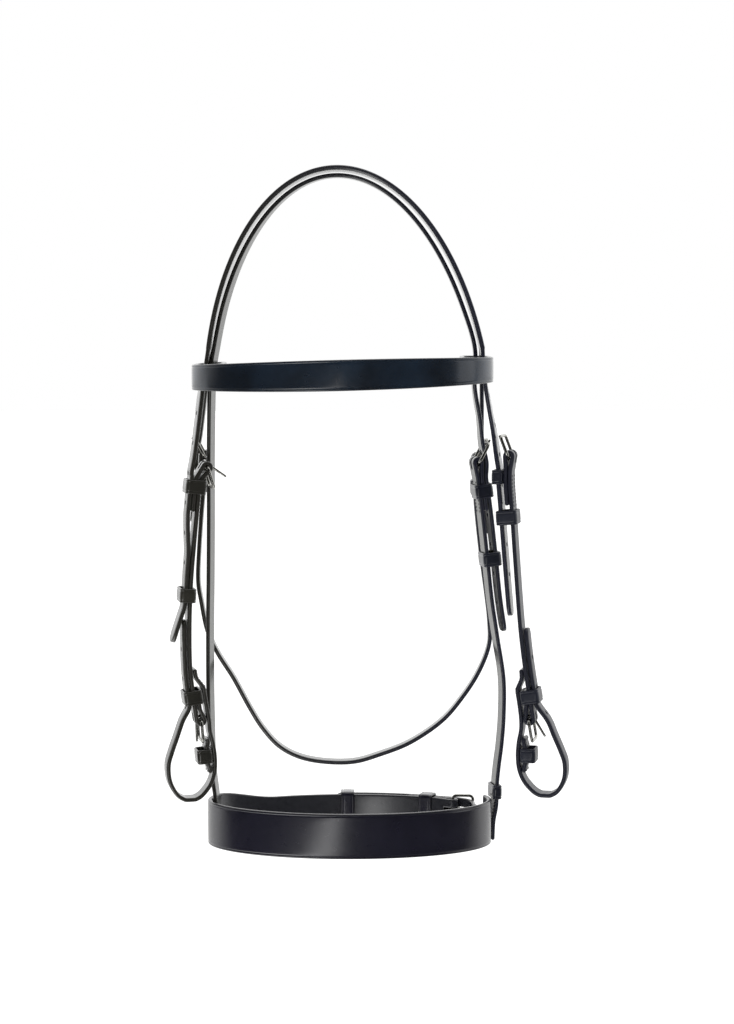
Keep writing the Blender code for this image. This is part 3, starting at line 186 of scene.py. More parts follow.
HANGER_SHARES = ((0, 0), (0.04, 0.05), (0.125, 0.2), (0.25, 0.38), (0.36, 0.53), (0.46, 0.72),
                 (0.57, 0.93), (0.67, 0.94), (0.746, 0.874), (0.8, 0.79), (0.85, 0.73), (0.908, 0.71),
                 (0.95, 0.62), (1.0, 0.59))

# Throatlatch
THROAT_HALF_SPAN = 130.0 * MM
THROAT_DROP = 270.0 * MM
OFF_THROAT_TAIL = 58.0 * MM
NEAR_THROAT_TAIL = 66.0 * MM
THROAT_HOLE_PLACE = 14.0 * MM
THROAT_SHARES = ((-0.924, 0.08), (-0.946, 0.19), (-0.965, 0.32), (-0.97, 0.404), (-0.95, 0.47),
                 (-0.91, 0.565), (-0.84, 0.64), (-0.736, 0.72), (-0.63, 0.815), (-0.54, 0.885),
                 (-0.426, 0.945), (-0.285, 0.981), (-0.115, 0.997), (0.08, 0.997), (0.253, 0.974),
                 (0.466, 0.933), (0.678, 0.863), (0.818, 0.785), (0.93, 0.70), (1.0, 0.61), (1.0, 0.53),
                 (0.98, 0.445), (0.945, 0.32), (0.91, 0.165), (0.9, 0.07))

# Browband
BROWBAND_DROP = 163.5 * MM
BROWBAND_RISE = 3.2 * MM
BROWBAND_CENTRE = np.array((1.6, -22.0, 0.0)) * MM
BROWBAND_HALF_SPAN = 124.7 * MM
BROWBAND_BOW = 62.0 * MM
BROWBAND_INNER = 101.6 * MM
BROWBAND_REAR = 56.0 * MM
BROWBAND_LAP_ANGLES = (math.radians(20), math.radians(36))
BROWBAND_SEWN_SHARE = 0.3
BROWBAND_END_REACH = 2.0 * MM
BROWBAND_LOOP_SHARES = ((0.02, -0.17), (0.0, 0.15), (0.0, 0.45), (0.0, 0.74), (0.02, 0.91), (0.5, 1.0),
                        (0.9, 0.9), (1.0, 0.74), (1.0, 0.45), (1.0, 0.2), (1.0, 0.0))

# Noseband
NOSEBAND_CENTRE = np.array((7.1, 4.0, -548.5)) * MM
NOSEBAND_HALF_WIDTH = 120.1 * MM
NOSEBAND_HALF_DEPTH = 64.0 * MM
NOSEBAND_END_ANGLE = math.radians(14)
NOSEBAND_TAPER_ANGLES = (math.radians(-238), math.radians(-196))
CHIN_BAR_ANGLE = math.radians(42)
CHIN_BILLET_ANGLE = math.radians(-12)
CHIN_LEAD_ANGLE = math.radians(22)
CHIN_TAIL = 112.0 * MM
CHIN_RUNNER_PLACE = 96.0 * MM

# Where the legs of the headpiece leave the crown: shares sideways, back and down
THROAT_LEAD_SHARES = ((0.25, 0.03, 0.3), (0.66, 0.6, 0.7))
LEG_ROWS = 150

# Finish of the leather's edges, creases and stitches
ROW_STEP = 1.3 * MM
NOSEBAND_STEP = 1.1 * MM
FINE_STEP = 1.0 * MM
CHEEK_STEP = 0.9 * MM
FRAME_STEP = 0.8 * MM
KEEPER_STEP = 0.7 * MM
TONGUE_STEP = 0.6 * MM
EDGE_ROUND = 1.3 * MM
EDGE_FLAT_SHARE = 0.35
RIM_REACH = 1.6 * MM
TIP_POWER = 2.3
TIP_LEAST_SHARE = 0.03
TIP_ROWS = np.array((0.8, 0.6, 0.45, 0.32, 0.21, 0.13, 0.07, 0.025))
LEG_TIP_ROWS_SHARE = 0.08
LEG_END_STEP = 0.5 * MM
CREASE_INSET = 2.1 * MM
CREASE_DEPTH = 0.30 * MM
CREASE_WIDTH = 0.32 * MM
CROWNING = 0.14 * MM
EDGE_COLUMNS = np.array((0.0, 0.3, 0.7, 1.2, 1.6, 1.9, 2.1, 2.3, 2.6, 3.2)) * MM
STITCH_PITCH = 3.0 * MM
STITCH_SIZE = np.array((2.3, 0.85, 0.6)) * MM
STITCH_INSET = 3.0 * MM
STITCH_SLANT = math.radians(14)
STITCH_SIDES = 6
STITCH_RINGS = np.array(((-0.42, 0.62), (-0.22, 0.95), (0.22, 0.95), (0.42, 0.62)))
THREAD_RISE = 0.1 * MM
THREAD_LIFT = LEATHER / 2 + THREAD_RISE

# Where the lines of stitches start and end along their straps
CHEEK_SEWN = (FOLD_LENGTH + 4.0 * MM, CHAPE_LENGTH)
CHEEK_CHAPE_SEWN = (FOLD_LENGTH + 4.0 * MM, CHAPE_LENGTH - 2.0 * MM)
LAP_MARGIN = 2.0 * MM
LINING_SEWN = 6.0 * MM
LINING_MARGIN = 1.5 * MM
THROAT_SEWN = (16.0 * MM, 28.0 * MM)
HANGER_SEWN = (17.0 * MM, CHAPE_LENGTH)
HANGER_FOOT_SEWN = (32.0 * MM, 3.0 * MM)
CHIN_SEWN = (16.0 * MM, CHAPE_LENGTH)
BROWBAND_SEWN = 3.0 * MM
BROWBAND_SEWN_WIDTH = 15.0 * MM


# ---------------------------------------------------------------- routes

def unit(vectors):
    """Vectors divided by their own lengths."""
    return vectors / np.linalg.norm(vectors, axis=-1, keepdims=True)


def smooth(points, steps=8):
    """Catmull-Rom curve: a cubic in each span, whose end slopes are half the step between neighbours."""
    p = np.asarray(points, float)
    p = np.vstack([2 * p[0] - p[1], p, 2 * p[-1] - p[-2]])
    a, b, c, d = (p[k:len(p) - 3 + k, None, :] for k in range(4))
    t = (np.arange(steps) / steps)[None, :, None]
    square, cube = 2 * a - 5 * b + 4 * c - d, 3 * b - a - 3 * c + d
    spans = 0.5 * (2 * b + (c - a) * t + square * t ** 2 + cube * t ** 3)
    return np.vstack([spans.reshape(-1, 3), p[-2]])


def run_of(route):
    """Running length at each point of a polyline: the sum of the steps before it."""
    return np.concatenate([[0.0], np.cumsum(np.linalg.norm(np.diff(route, axis=0), axis=1))])


def at(route, places):
    """Points of a polyline at distances along it."""
    run = run_of(route)
    return np.stack([np.interp(places, run, route[:, k]) for k in range(3)], -1)


def heading(route, places, reach=LEATHER / 2):
    """Unit directions of a polyline at distances along it, over a short reach each way."""
    total = run_of(route)[-1]
    return unit(at(route, np.minimum(places + reach, total)) - at(route, np.maximum(places - reach, 0.0)))


def side_of(direction):
    """Normals of directions in the upright plane: (-z, 0, x)."""
    return np.stack([-direction[..., 2], 0 * direction[..., 2], direction[..., 0]], -1)


def beside(route, shift):
    """A route moved along its upright normals, by one distance or by one for each share of its length."""
    run = run_of(route)
    reach = shift(run / run[-1]) if callable(shift) else np.full(len(run), shift)
    return route + side_of(heading(route, run)) * reach[:, None]


def stretch(route, start, end, count):
    """Evenly spaced points of a route between two distances."""
    return at(route, np.linspace(start, end, count + 1))


def relaxed(route, step=ROW_STEP, passes=2):
    """Even steps, then each inner point moved to the mean of itself and its neighbours' mean."""
    total = run_of(route)[-1]
    route = at(route, np.linspace(0.0, total, int(round(total / step)) + 1))
    for _ in range(passes):
        route[1:-1] = 0.5 * route[1:-1] + 0.25 * (route[:-2] + route[2:])
    return route


def arc(centre, radius, start, end, count=20):
    """Arc in the upright plane, angles in degrees from +X towards +Z."""
    angle = np.radians(np.linspace(start, end, count + 1))
    ring = np.stack([np.cos(angle), 0 * angle, np.sin(angle)], -1)
    return np.asarray(centre) + radius * ring


def matrix_of(origin=(0, 0, 0), axis="Z", angle=0.0):
    """A 4 by 4 matrix that turns about one axis and then moves to the origin."""
    i, j = {"X": (1, 2), "Y": (2, 0), "Z": (0, 1)}[axis]
    matrix = np.eye(4)
    matrix[i, i] = matrix[j, j] = math.cos(angle)
    matrix[j, i] = math.sin(angle)
    matrix[i, j] = -math.sin(angle)
    matrix[:3, 3] = origin
    return matrix


def send(matrix, points):
    """Points taken through a matrix."""
    return np.asarray(points) @ matrix[:3, :3].T + matrix[:3, 3]


def table_seam(table, reach, length):
    """A smooth seam down a table of shares: down the length, and sideways of the reach."""
    down, side = np.array(table, float).T
    return smooth(np.stack([reach * side, 0 * side, -length * down], -1))


def chape(seam, length):
    """The stitched end of a fold, from its tip up to the bar, half a layer to the facing side."""
    return stretch(beside(seam, LAYER / 2), length, FOLD_LENGTH, 20)


def fold(start=0, end=180, centre=(0, 0, 0)):
    """The half circle of a strap round a heel bar."""
    return arc(centre, FOLD_RADIUS, start, end)


def buckled_tail(seam, length):
    """A point strap: inside the far bar of its buckle, over the chape and down to its tip."""
    inside = FRAME_LENGTH * math.sin(FRAME_TILT) - FOLD_RADIUS - FRAME_SIDE_GAP / 2
    crossing = (inside, 0.0, FRAME_LENGTH * math.cos(FRAME_TILT))
    at_bar = (FOLD_RADIUS + LAYER + TOUCH_GAP, 0.0, 0.0)
    return np.vstack([crossing, at_bar, stretch(beside(seam, OVER_CHAPE), FOLD_LENGTH, length, 18)])


def passing_tail(side, seam):
    """A cheek point that passes outside its undone buckle and goes on some layers from the seam."""
    lead = np.array([(out, 0.0, up) for out, up in side["passing"]]) * MM
    lifted = beside(seam, lambda share: LAYER * np.interp(share, *np.array(side["tail_layers"]).T))
    return np.vstack([lead, stretch(lifted, side["tail_start"], side["tail"], 18)])


def stepped(route, shares, middle, reach, near, step):
    """Points beside a route by a table of shares: of a reach along it from a middle, and of a step aside."""
    along, aside = np.array(shares).T
    places = middle + reach * along
    return at(route, places) + side_of(heading(route, places)) * (near + step * aside)[:, None]


def hanger_matrix():
    """The frame of the hanger's buckle, turned a little so that its inner face looks forward."""
    return matrix_of(HANGER_BAR, "Z", HANGER_TURN)


def crown_arch(half_width, crown_height, slack, count=120):
    """Half ellipse over the poll, leant a little to the near side, with slack where it bulges."""
    height = ARCH_HEIGHT + crown_height - CROWN_CENTRE_HEIGHT
    depth = SPLIT_DEPTH + crown_height - CROWN_CENTRE_HEIGHT
    last = math.asin(1 - depth / height)
    angle = np.linspace(math.pi - last, last, count + 1)
    drop = height * (1 - np.sin(angle))
    lean = (drop - ARCH_LEAN_HEIGHT) * ARCH_LEAN_SHARE
    x = half_width * np.cos(angle) + lean - slack * np.sin(2 * angle)
    return np.stack([x, 0 * x, crown_height - drop], -1)


def noseband_ring(angle, outward=0.0):
    """Points of the noseband's ellipse at angles from the near side to the rear, moved along its normals."""
    angle = np.asarray(angle, float)
    reach = np.stack([np.cos(angle), np.sin(angle), 0 * angle], -1)
    size = np.array((NOSEBAND_HALF_WIDTH, NOSEBAND_HALF_DEPTH, 1.0))
    return NOSEBAND_CENTRE + reach * size + unit(reach / size) * outward


# ---------------------------------------------------------------- mesh making

def new_mesh(name, verts, quads, tris=(), attributes=None):
    """A smooth mesh object of vertices and faces, with one value for each vertex in each attribute."""
    mesh = bpy.data.meshes.new(name)
    mesh.from_pydata(verts.reshape(-1, 3).tolist(), [], quads.tolist() + [list(face) for face in tris])
    mesh.shade_smooth()
    for key, values in (attributes or {}).items():
        attribute = mesh.attributes.new(key, "FLOAT", "POINT")
        attribute.data.foreach_set("value", values.ravel().astype(np.float32))
    piece = bpy.data.objects.new(name, mesh)
    bpy.context.scene.collection.objects.link(piece)
    return piece


def slab(name, centre, normal, face, back, rim, keep=None, ring=False):
    """Closed leather body: a grid pushed along its normals to its face and its back, joined at open edges."""
    rows, columns = centre.shape[:2]
    verts = np.concatenate([(centre + normal * face[..., None]).reshape(-1, 3),
                            (centre - normal * back[..., None]).reshape(-1, 3)])
    row = np.arange(rows if ring else rows - 1)[:, None]
    column = np.arange(columns - 1)[None, :]
    below = (row + 1) % rows
    corners = [row * columns + column, below * columns + column,
               below * columns + column + 1, row * columns + column + 1]
    top = np.stack(corners, -1).reshape(-1, 4)
    if keep is not None:
        top = top[keep.ravel()]
    edges = np.concatenate([top[:, [k, (k + 1) % 4]] for k in range(4)])
    key = edges.min(1) * rows * columns + edges.max(1)
    _, first, count = np.unique(key, return_index=True, return_counts=True)
    open_edges = edges[first[count == 1]]
    under = rows * columns
    start, end = open_edges.T
    rims = np.stack([end, start, start + under, end + under], -1)
    quads = np.concatenate([top, top[:, ::-1] + under, rims])
    flesh = np.concatenate([np.zeros(under), np.ones(under)])
    used, quads = np.unique(quads, return_inverse=True)
    values = {"rim": np.tile(rim.ravel(), 2)[used], "flesh": flesh[used]}
    return new_mesh(name, verts[used], quads.reshape(-1, 4), attributes=values)


def columns_for(half):
    """Distances of a strap's columns from its middle: close together at the edges and even inside."""
    inner = (half - EDGE_COLUMNS[-1]) * np.array((0.75, 0.5, 0.25))
    outer = np.concatenate([half - EDGE_COLUMNS, inner])
    return np.concatenate([-outer, [0.0], outer[::-1]])


def rounding(distance, reach=EDGE_ROUND):
    """Quarter-round share of the thickness at a distance from an edge, never less than the rim's flat."""
    near = 1 - np.clip(distance / reach, 0.0, 1.0)
    return EDGE_FLAT_SHARE + (1 - EDGE_FLAT_SHARE) * np.sqrt(1 - near ** 2)


def skin(offset, half, thickness):
    """Heights of face and back over the middle surface: rounded edges, a pressed crease and a low crown."""
    inset = half - np.abs(offset)
    body = thickness / 2 * rounding(inset)
    line = CREASE_DEPTH * np.exp(-((inset - CREASE_INSET) / CREASE_WIDTH) ** 2)
    crown = CROWNING * (1 - (offset / half) ** 2)
    return body - line + crown, body + 0 * line


def rim_of(offset, half):
    """One at the strap's edge, falling to nothing at the rim's reach."""
    return np.clip(1 - (half - np.abs(offset)) / RIM_REACH, 0.0, 1.0)


def tip_width(left, length):
    """Share of the full width at a distance from a rounded tip: a superellipse over a least share."""
    near = 1 - np.clip(left / length, 0.0, 1.0)
    curve = np.maximum(1 - near ** TIP_POWER, 0.0) ** (1 / TIP_POWER)
    return curve * (1 - TIP_LEAST_SHARE) + TIP_LEAST_SHARE


def tip_rows(places, total, length):
    """Row places with closer rows added near a rounded tip."""
    return np.unique(np.round(np.concatenate([places, total - length * TIP_ROWS]), 7))


def strap(node, route, width, thickness=LEATHER, across=Y_AXIS, tip=False, ring=False, face_side=1.0,
          step=ROW_STEP):
    """A strap on its route: columns go out along across, and the normal is the heading times across."""
    route = relaxed(route, step)
    if ring:
        route = route[:-1]
    total = run_of(route)[-1]
    places = run_of(route)
    if tip:
        places = tip_rows(places, total, tip)
    if ring:
        ahead = unit(np.roll(route, -1, 0) - np.roll(route, 1, 0))
    else:
        ahead = heading(route, places, step)
        route = at(route, places)
    side = across(places / total) if callable(across) else np.broadcast_to(across, ahead.shape)
    normal = unit(np.cross(ahead, side)) * face_side
    side = unit(np.cross(normal, ahead)) * face_side
    half = np.broadcast_to((width(places / total) if callable(width) else width) / 2, places.shape)
    full = half.copy()
    if tip:
        half = half * tip_width(total - places, tip)
    offset = np.stack([columns_for(value) for value in full])
    centre = route[:, None] + side[:, None] * (offset * (half / full)[:, None])[..., None]
    face, back = skin(offset, full[:, None], thickness)
    if not ring:
        ends = rounding(np.minimum(places, total - places))[:, None]
        face, back = face * ends, back * ends
    grid_normal = np.broadcast_to(normal[:, None], centre.shape)
    if face_side < 0:
        centre, face, back = centre[::-1], face[::-1], back[::-1]
        grid_normal, offset, full = grid_normal[::-1], offset[::-1], full[::-1]
    return slab(node + "_leather", centre, grid_normal, face, back, rim_of(offset, full[:, None]), ring=ring)


def tube(path, radius, closed):
    """A bent wire: circles of the given radii across a path, with capped ends where it is open."""
    if closed:
        ahead = unit(np.roll(path, -1, 0) - np.roll(path, 1, 0))
    else:
        ahead = unit(np.gradient(path, axis=0))
    reference = np.where(np.abs(ahead[:, :1]) < 0.9, [[1.0, 0.0, 0.0]], [[0.0, 1.0, 0.0]])
    if np.abs(path[:, 0] - path[0, 0]).max() > BAR_RADIUS:
        reference = np.broadcast_to(Y_AXIS, ahead.shape)
    first = unit(np.cross(ahead, reference))
    second = np.cross(ahead, first)
    angle = np.arange(WIRE_SIDES) / WIRE_SIDES * math.tau
    circle = first[:, None] * np.cos(angle)[:, None] + second[:, None] * np.sin(angle)[:, None]
    radius = np.broadcast_to(radius, len(path))
    verts = (path[:, None] + circle * radius[:, None, None]).reshape(-1, 3)
    rows = np.arange(len(path) if closed else len(path) - 1)[:, None]
    here, after = rows * WIRE_SIDES, (rows + 1) % len(path) * WIRE_SIDES
    column = np.arange(WIRE_SIDES)[None, :]
    beyond = (column + 1) % WIRE_SIDES
    quads = np.stack([here + column, here + beyond, after + beyond, after + column], -1).reshape(-1, 4)
    end = np.arange(WIRE_SIDES)
    caps = [] if closed else [end[::-1].tolist(), (end + len(verts) - WIRE_SIDES).tolist()]
    return verts, quads, caps


def carve(piece, cutters):
    """Cuts the cutters out of a piece, which stays a plain mesh."""
    for cutter in cutters:
        modifier = piece.modifiers.new("cut", "BOOLEAN")
        modifier.object = cutter
        modifier.solver = "EXACT"
    bpy.context.view_layer.update()
    evaluated = piece.evaluated_get(bpy.context.evaluated_depsgraph_get())
    mesh = bpy.data.meshes.new_from_object(evaluated)
    piece.modifiers.clear()
    piece.data = mesh
    for cutter in cutters:
        bpy.data.objects.remove(cutter)


def punch(points, ahead, across, length, width=HOLE_DIAMETER):
    """Cutters like long holes: a rounded slot drawn along the strap and pushed through its thickness."""
    index = np.arange(PUNCH_SIDES)
    after = (index + 1) % PUNCH_SIDES
    sides = np.stack([index, after, after + PUNCH_SIDES, index + PUNCH_SIDES], -1)
    angle = index / PUNCH_SIDES * math.tau
    outline = np.stack([width / 2 * np.cos(angle), width / 2 * np.sin(angle)], -1)
    outline[:, 0] += np.sign(outline[:, 0]) * (length - width) / 2
    made = []
    for point, along, side in zip(points, ahead, across):
        through = unit(np.cross(along, side)) * PUNCH_REACH
        flat = point + outline[:, :1] * along + outline[:, 1:] * side
        verts = np.vstack([flat - through, flat + through])
        item = new_mesh("punch", verts, sides, [index[::-1].tolist(), (index + PUNCH_SIDES).tolist()])
        item.data.polygons.foreach_set("use_smooth", np.zeros(len(item.data.polygons), bool))
        made.append(item)
    return made


def stitches(name, rows):
    """A row of thread bumps for each line: small capsules, slanted a little to the line they follow."""
    sides, rings = STITCH_SIDES, len(STITCH_RINGS)
    angle = np.arange(sides) / sides * math.tau
    long, wide = STITCH_RINGS.T[:, :, None]
    body = np.stack([long + 0 * angle, wide * np.cos(angle) / 2, wide * np.sin(angle) / 2], -1).reshape(-1, 3)
    shape = np.vstack([(-0.5, 0, 0), body, (0.5, 0, 0)]) * STITCH_SIZE
    last = 1 + (rings - 1) * sides
    side = np.arange(sides)
    after = (side + 1) % sides
    starts = 1 + np.arange(rings - 1)[:, None] * sides
    quads = np.stack([starts + side, starts + after, starts + sides + after, starts + sides + side], -1)
    tris = np.vstack([np.stack([0 * side, 1 + after, 1 + side], -1),
                      np.stack([0 * side + last + sides, last + side, last + after], -1)])
    verts, all_quads, all_tris = [], [], []
    base = 0
    for points, ahead, across in rows:
        normal = unit(np.cross(ahead, across))
        slant = ahead * math.cos(STITCH_SLANT) + across * math.sin(STITCH_SLANT)
        axes = np.stack([slant, np.cross(normal, slant), normal], 1)
        verts.append((points[:, None] + shape @ axes).reshape(-1, 3))
        start = base + np.arange(len(points))[:, None, None] * len(shape)
        all_quads.append((quads.reshape(-1, 4)[None] + start).reshape(-1, 4))
        all_tris.append((tris[None] + start).reshape(-1, 3))
        base += len(points) * len(shape)
    return new_mesh(name, np.concatenate(verts), np.concatenate(all_quads),
                    np.concatenate(all_tris).tolist())


def sent(matrix, rows):
    """Lines of stitches taken through a matrix."""
    turn = matrix[:3, :3].T
    return [(send(matrix, points), ahead @ turn, across @ turn) for points, ahead, across in rows]


def stitch_lines(route, start, end, width, lift=THREAD_LIFT, across=Y_AXIS):
    """Two lines of stitches along a route, a width apart, at a lift off its middle."""
    count = max(int(round(abs(end - start) / STITCH_PITCH)), 1)
    places = np.linspace(start, end, count + 1)
    ahead = heading(route, places)
    side = np.broadcast_to(across, ahead.shape)
    middle = at(route, places) + unit(np.cross(ahead, side)) * lift
    return [(middle + side * way * width / 2, ahead, side) for way in (-1, 1)]


# ---------------------------------------------------------------- materials

NOISE, RAMP, RANGE = "ShaderNodeTexNoise", "ShaderNodeValToRGB", "ShaderNodeMapRange"
MIX, MATH = "ShaderNodeMix", "ShaderNodeMath"
CLOUDS_PER_METRE = 22.0
PORE_SIZE = 1.1 * MM
GRAIN_SIZE = 0.8 * MM
FIBRE_SIZE = 5.0 * MM
DYE_REACH = 120.0 * MM
RIM_EXTRA_ROUGHNESS = 0.14
SCRATCH_SIZE = 0.9 * MM
SPOT_SIZE = 4.0 * MM
PLY_TWIST = 2.2 * MM


def linear(hex_colour):
    """An sRGB hex value as linear red, green, blue and alpha."""
    values = [int(hex_colour[k:k + 2], 16) / 255 for k in (1, 3, 5)]
    return tuple(v / 12.92 if v <= 0.04045 else ((v + 0.055) / 1.055) ** 2.4 for v in values) + (1.0,)


def feed(tree, node, inputs):
    """Gives a node's inputs their numbers and colours, or links the sockets that are given."""
    for key, source in inputs.items():
        if isinstance(source, bpy.types.NodeSocket):
            tree.links.new(source, node.inputs[key])
        else:
            node.inputs[key].default_value = source


def add(tree, kind, inputs=(), stops=(), **settings):
    """Adds a node with its own settings, its inputs and its colour stops, and gives its outputs."""
    node = tree.nodes.new(kind)
    for key, value in settings.items():
        setattr(node, key, value)
    feed(tree, node, inputs if isinstance(inputs, dict) else dict(enumerate(inputs)))
    if stops:
        for element, (place, colour) in zip(node.color_ramp.elements, stops):
            element.position = place
            element.color = linear(colour)
    return node.outputs


def start_material(name):
    """A material with its tree, its Principled shader and its Object coordinates."""
    material = bpy.data.materials.new(name)
    material.use_nodes = True
    tree = material.node_tree
    return material, tree, tree.nodes["Principled BSDF"], add(tree, "ShaderNodeTexCoord")["Object"]


def make_leather(name, tones, flesh, rims, rough, coat=1.0):
    """Vegetable-tanned bridle leather, dyed black, greased and glazed: a low waxy gloss over fine pores,
    colour that wanders a little along the strap, browner to the off side and bluer to the near side,
    a matt burnished rim and a paler flesh side."""
    material, tree, shader, where = start_material(name)
    cloud = add(tree, NOISE, {"Vector": where, "Scale": CLOUDS_PER_METRE, "Detail": 3.0})["Fac"]
    pores = add(tree, "ShaderNodeTexVoronoi", {"Vector": where, "Scale": 1 / PORE_SIZE},
                feature="DISTANCE_TO_EDGE")["Distance"]
    grain, fibre = (add(tree, NOISE, {"Vector": where, "Scale": 1 / size, "Detail": detail,
                                      "Roughness": fineness})["Fac"]
                    for size, detail, fineness in ((GRAIN_SIZE, 4.0, 0.6), (FIBRE_SIZE, 6.0, 0.7)))
    edge = add(tree, "ShaderNodeAttribute", attribute_name="rim")["Fac"]
    inner = add(tree, "ShaderNodeAttribute", attribute_name="flesh")["Fac"]
    across = add(tree, "ShaderNodeSeparateXYZ", (where,))["X"]
    to_near = add(tree, RANGE, (across, -DYE_REACH, DYE_REACH, 0.0, 1.0))[0]
    off_face, near_face = (add(tree, RAMP, (cloud,), ((0.35, dark), (0.7, cast)))[0] for dark, cast in tones)
    face = add(tree, MIX, {0: to_near, 6: off_face, 7: near_face}, data_type="RGBA")[2]
    back = add(tree, RAMP, (fibre,), ((0.3, flesh[0]), (0.7, flesh[1])))[0]
    body = add(tree, MIX, {0: inner, 6: face, 7: back}, data_type="RGBA")[2]
    rim = add(tree, MIX, {0: to_near, 6: linear(rims[0]), 7: linear(rims[1])}, data_type="RGBA")[2]
    worn = add(tree, RANGE, (fibre, 0.3, 0.75, *rough))[0]
    creases = add(tree, RANGE, (pores, 0.0, 0.12, 0.0, 1.0))[0]
    height = add(tree, MATH, (grain, 0.6, creases), operation="MULTIPLY_ADD")[0]
    bump = {"Height": height, "Strength": 0.16, "Distance": 0.12 * MM}
    feed(tree, shader, {
        "Base Color": add(tree, MIX, {0: edge, 6: body, 7: rim}, data_type="RGBA")[2],
        "Roughness": add(tree, MATH, (edge, RIM_EXTRA_ROUGHNESS, worn), operation="MULTIPLY_ADD")[0],
        "Normal": add(tree, "ShaderNodeBump", bump)["Normal"],
        "IOR": 1.5, "Coat Weight": coat, "Coat Roughness": 0.16, "Coat IOR": 1.7})
    return material


def make_steel():
    """Stainless steel wire, bent, tumbled and polished: bright, with a faint drag of fine scratches."""
    material, tree, shader, where = start_material("polished_stainless_steel")
    drag = add(tree, "ShaderNodeMapping", {"Vector": where, "Scale": (1.0, 6.0, 1.0)})["Vector"]
    scratches = add(tree, NOISE, {"Vector": drag, "Scale": 1 / SCRATCH_SIZE, "Detail": 3.0})["Fac"]
    spots = add(tree, NOISE, {"Vector": where, "Scale": 1 / SPOT_SIZE, "Detail": 2.0})["Fac"]
    bump = {"Height": scratches, "Strength": 0.02, "Distance": 0.02 * MM}
    feed(tree, shader, {
        "Base Color": add(tree, RAMP, (spots,), ((0.3, "#b9b8b2"), (0.7, "#d6d5cf")))[0],
        "Roughness": add(tree, RANGE, (scratches, 0.3, 0.7, 0.12, 0.18))[0],
        "Normal": add(tree, "ShaderNodeBump", bump)["Normal"],
        "Metallic": 1.0})
    return material


def make_thread():
    """Waxed linen thread, laid in short stitches: dull black with the twist of its plies."""
    material, tree, shader, where = start_material("waxed_linen_thread")
    twist = add(tree, "ShaderNodeTexWave", {"Vector": where, "Scale": 1 / PLY_TWIST, "Distortion": 1.5},
                bands_direction="DIAGONAL")["Fac"]
    bump = {"Height": twist, "Strength": 0.4, "Distance": 0.1 * MM}
    feed(tree, shader, {
        "Base Color": add(tree, RAMP, (twist,), ((0.2, "#1b1b1d"), (0.8, "#3a3a3c")))[0],
        "Roughness": 0.5,
        "Normal": add(tree, "ShaderNodeBump", bump)["Normal"]})
    return material


# The near cheek's leather is duller than the rest; the browband is bluer and the noseband plum.
CHEEK_LEATHER = make_leather("black_bridle_leather", (("#23221c", "#302e27"), ("#191c2a", "#252936")),
                             ("#262823", "#343730"), ("#292720", "#1b1f34"), (0.3, 0.42))
DULL_LEATHER = make_leather("dull_black_bridle_leather", (("#1a1d2b", "#272b39"),) * 2,
                            ("#1e2230", "#2a2e3c"), ("#1a1d2e",) * 2, (0.36, 0.48), 0.3)
NAVY_LEATHER = make_leather("blue_black_bridle_leather", (("#0e1722", "#1a2b3d"),) * 2,
                            ("#1c2126", "#2b3036"), ("#101a26",) * 2, (0.26, 0.36))
NOSE_LEATHER = make_leather("plum_black_bridle_leather", (("#121120", "#1b1a2a"),) * 2,
                            ("#1e1f26", "#2c2d33"), ("#11101c",) * 2, (0.26, 0.38))
SIDES["off"]["leather"] = CHEEK_LEATHER
SIDES["near"]["leather"] = DULL_LEATHER
STEEL = make_steel()
THREAD = make_thread()
BODY_OF = {node: body for body, nodes in frame["record"]["behaviour"]["bodies"].items() for node in nodes}


def dress(piece, material, node=None, body="bridle"):
    """Gives a piece its material and its body; where it stands for a CAD node, it takes that node's body and
    hides the node.
    """
    piece.data.materials.clear()
    piece.data.materials.append(material)
    if node:
        body = BODY_OF[node]
        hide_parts(node)
    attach(piece, body)


# ---------------------------------------------------------------- fittings

def wire(node, matrix, path, radius, closed):
    """A piece of bent steel wire."""
    verts, quads, caps = tube(path, radius, closed)
    dress(new_mesh(node + "_steel", send(matrix, verts), quads, caps), STEEL, node)


def rounded_box(half_wide, half_high, corner, steps, first):
    """Closed outline of a rectangle with quarter-circle corners, as pairs, from the given corner on."""
    quarters = []
    for turn in range(first, first + 4):
        angle = np.radians(90 * turn + np.linspace(0, 90, steps + 1))
        signs = np.array(((1, 1), (-1, 1), (-1, -1), (1, -1))[turn % 4])
        middle = signs * (half_wide - corner, half_high - corner)
        quarters.append(middle + corner * np.stack([np.cos(angle), np.sin(angle)], -1))
    return np.vstack(quarters + [quarters[0][:1]])


def buckle(place, width, matrix, tilt=FRAME_TILT, tongue_tilt=FRAME_TILT):
    """A bent steel frame, and a tongue that curls round its heel bar and lies on its far bar."""
    across, up = rounded_box(width / 2 + FRAME_SIDE_GAP + BAR_RADIUS, FRAME_LENGTH / 2, FRAME_CORNER, 8, 2).T
    outline = relaxed(np.stack([0 * up, across, up + FRAME_LENGTH / 2], -1), FRAME_STEP, 1)[:-1]
    wire(place.replace("#", "frame"), matrix @ matrix_of(axis="Y", angle=tilt), outline, BAR_RADIUS, True)
    curl = arc((0, 0, 0), TONGUE_EYE, 90, 360, 24)
    shaft = [(TONGUE_EYE, 0.0, z) for z in np.linspace(WIRE_END, FRAME_LENGTH + TONGUE_OVERRUN, 20)]
    path = relaxed(np.vstack([curl, shaft]), TONGUE_STEP, 1)
    run = run_of(path)
    left = run[-1] - run
    taper = TONGUE_TAPER_SHARE + (1 - TONGUE_TAPER_SHARE) * np.clip(left / TONGUE_TAPER, 0, 1)
    radius = TONGUE_RADIUS * taper * tip_width(left, WIRE_END) * tip_width(run, WIRE_END)
    wire(place.replace("#", "tongue"), matrix @ matrix_of(axis="Y", angle=tongue_tilt), path, radius, False)


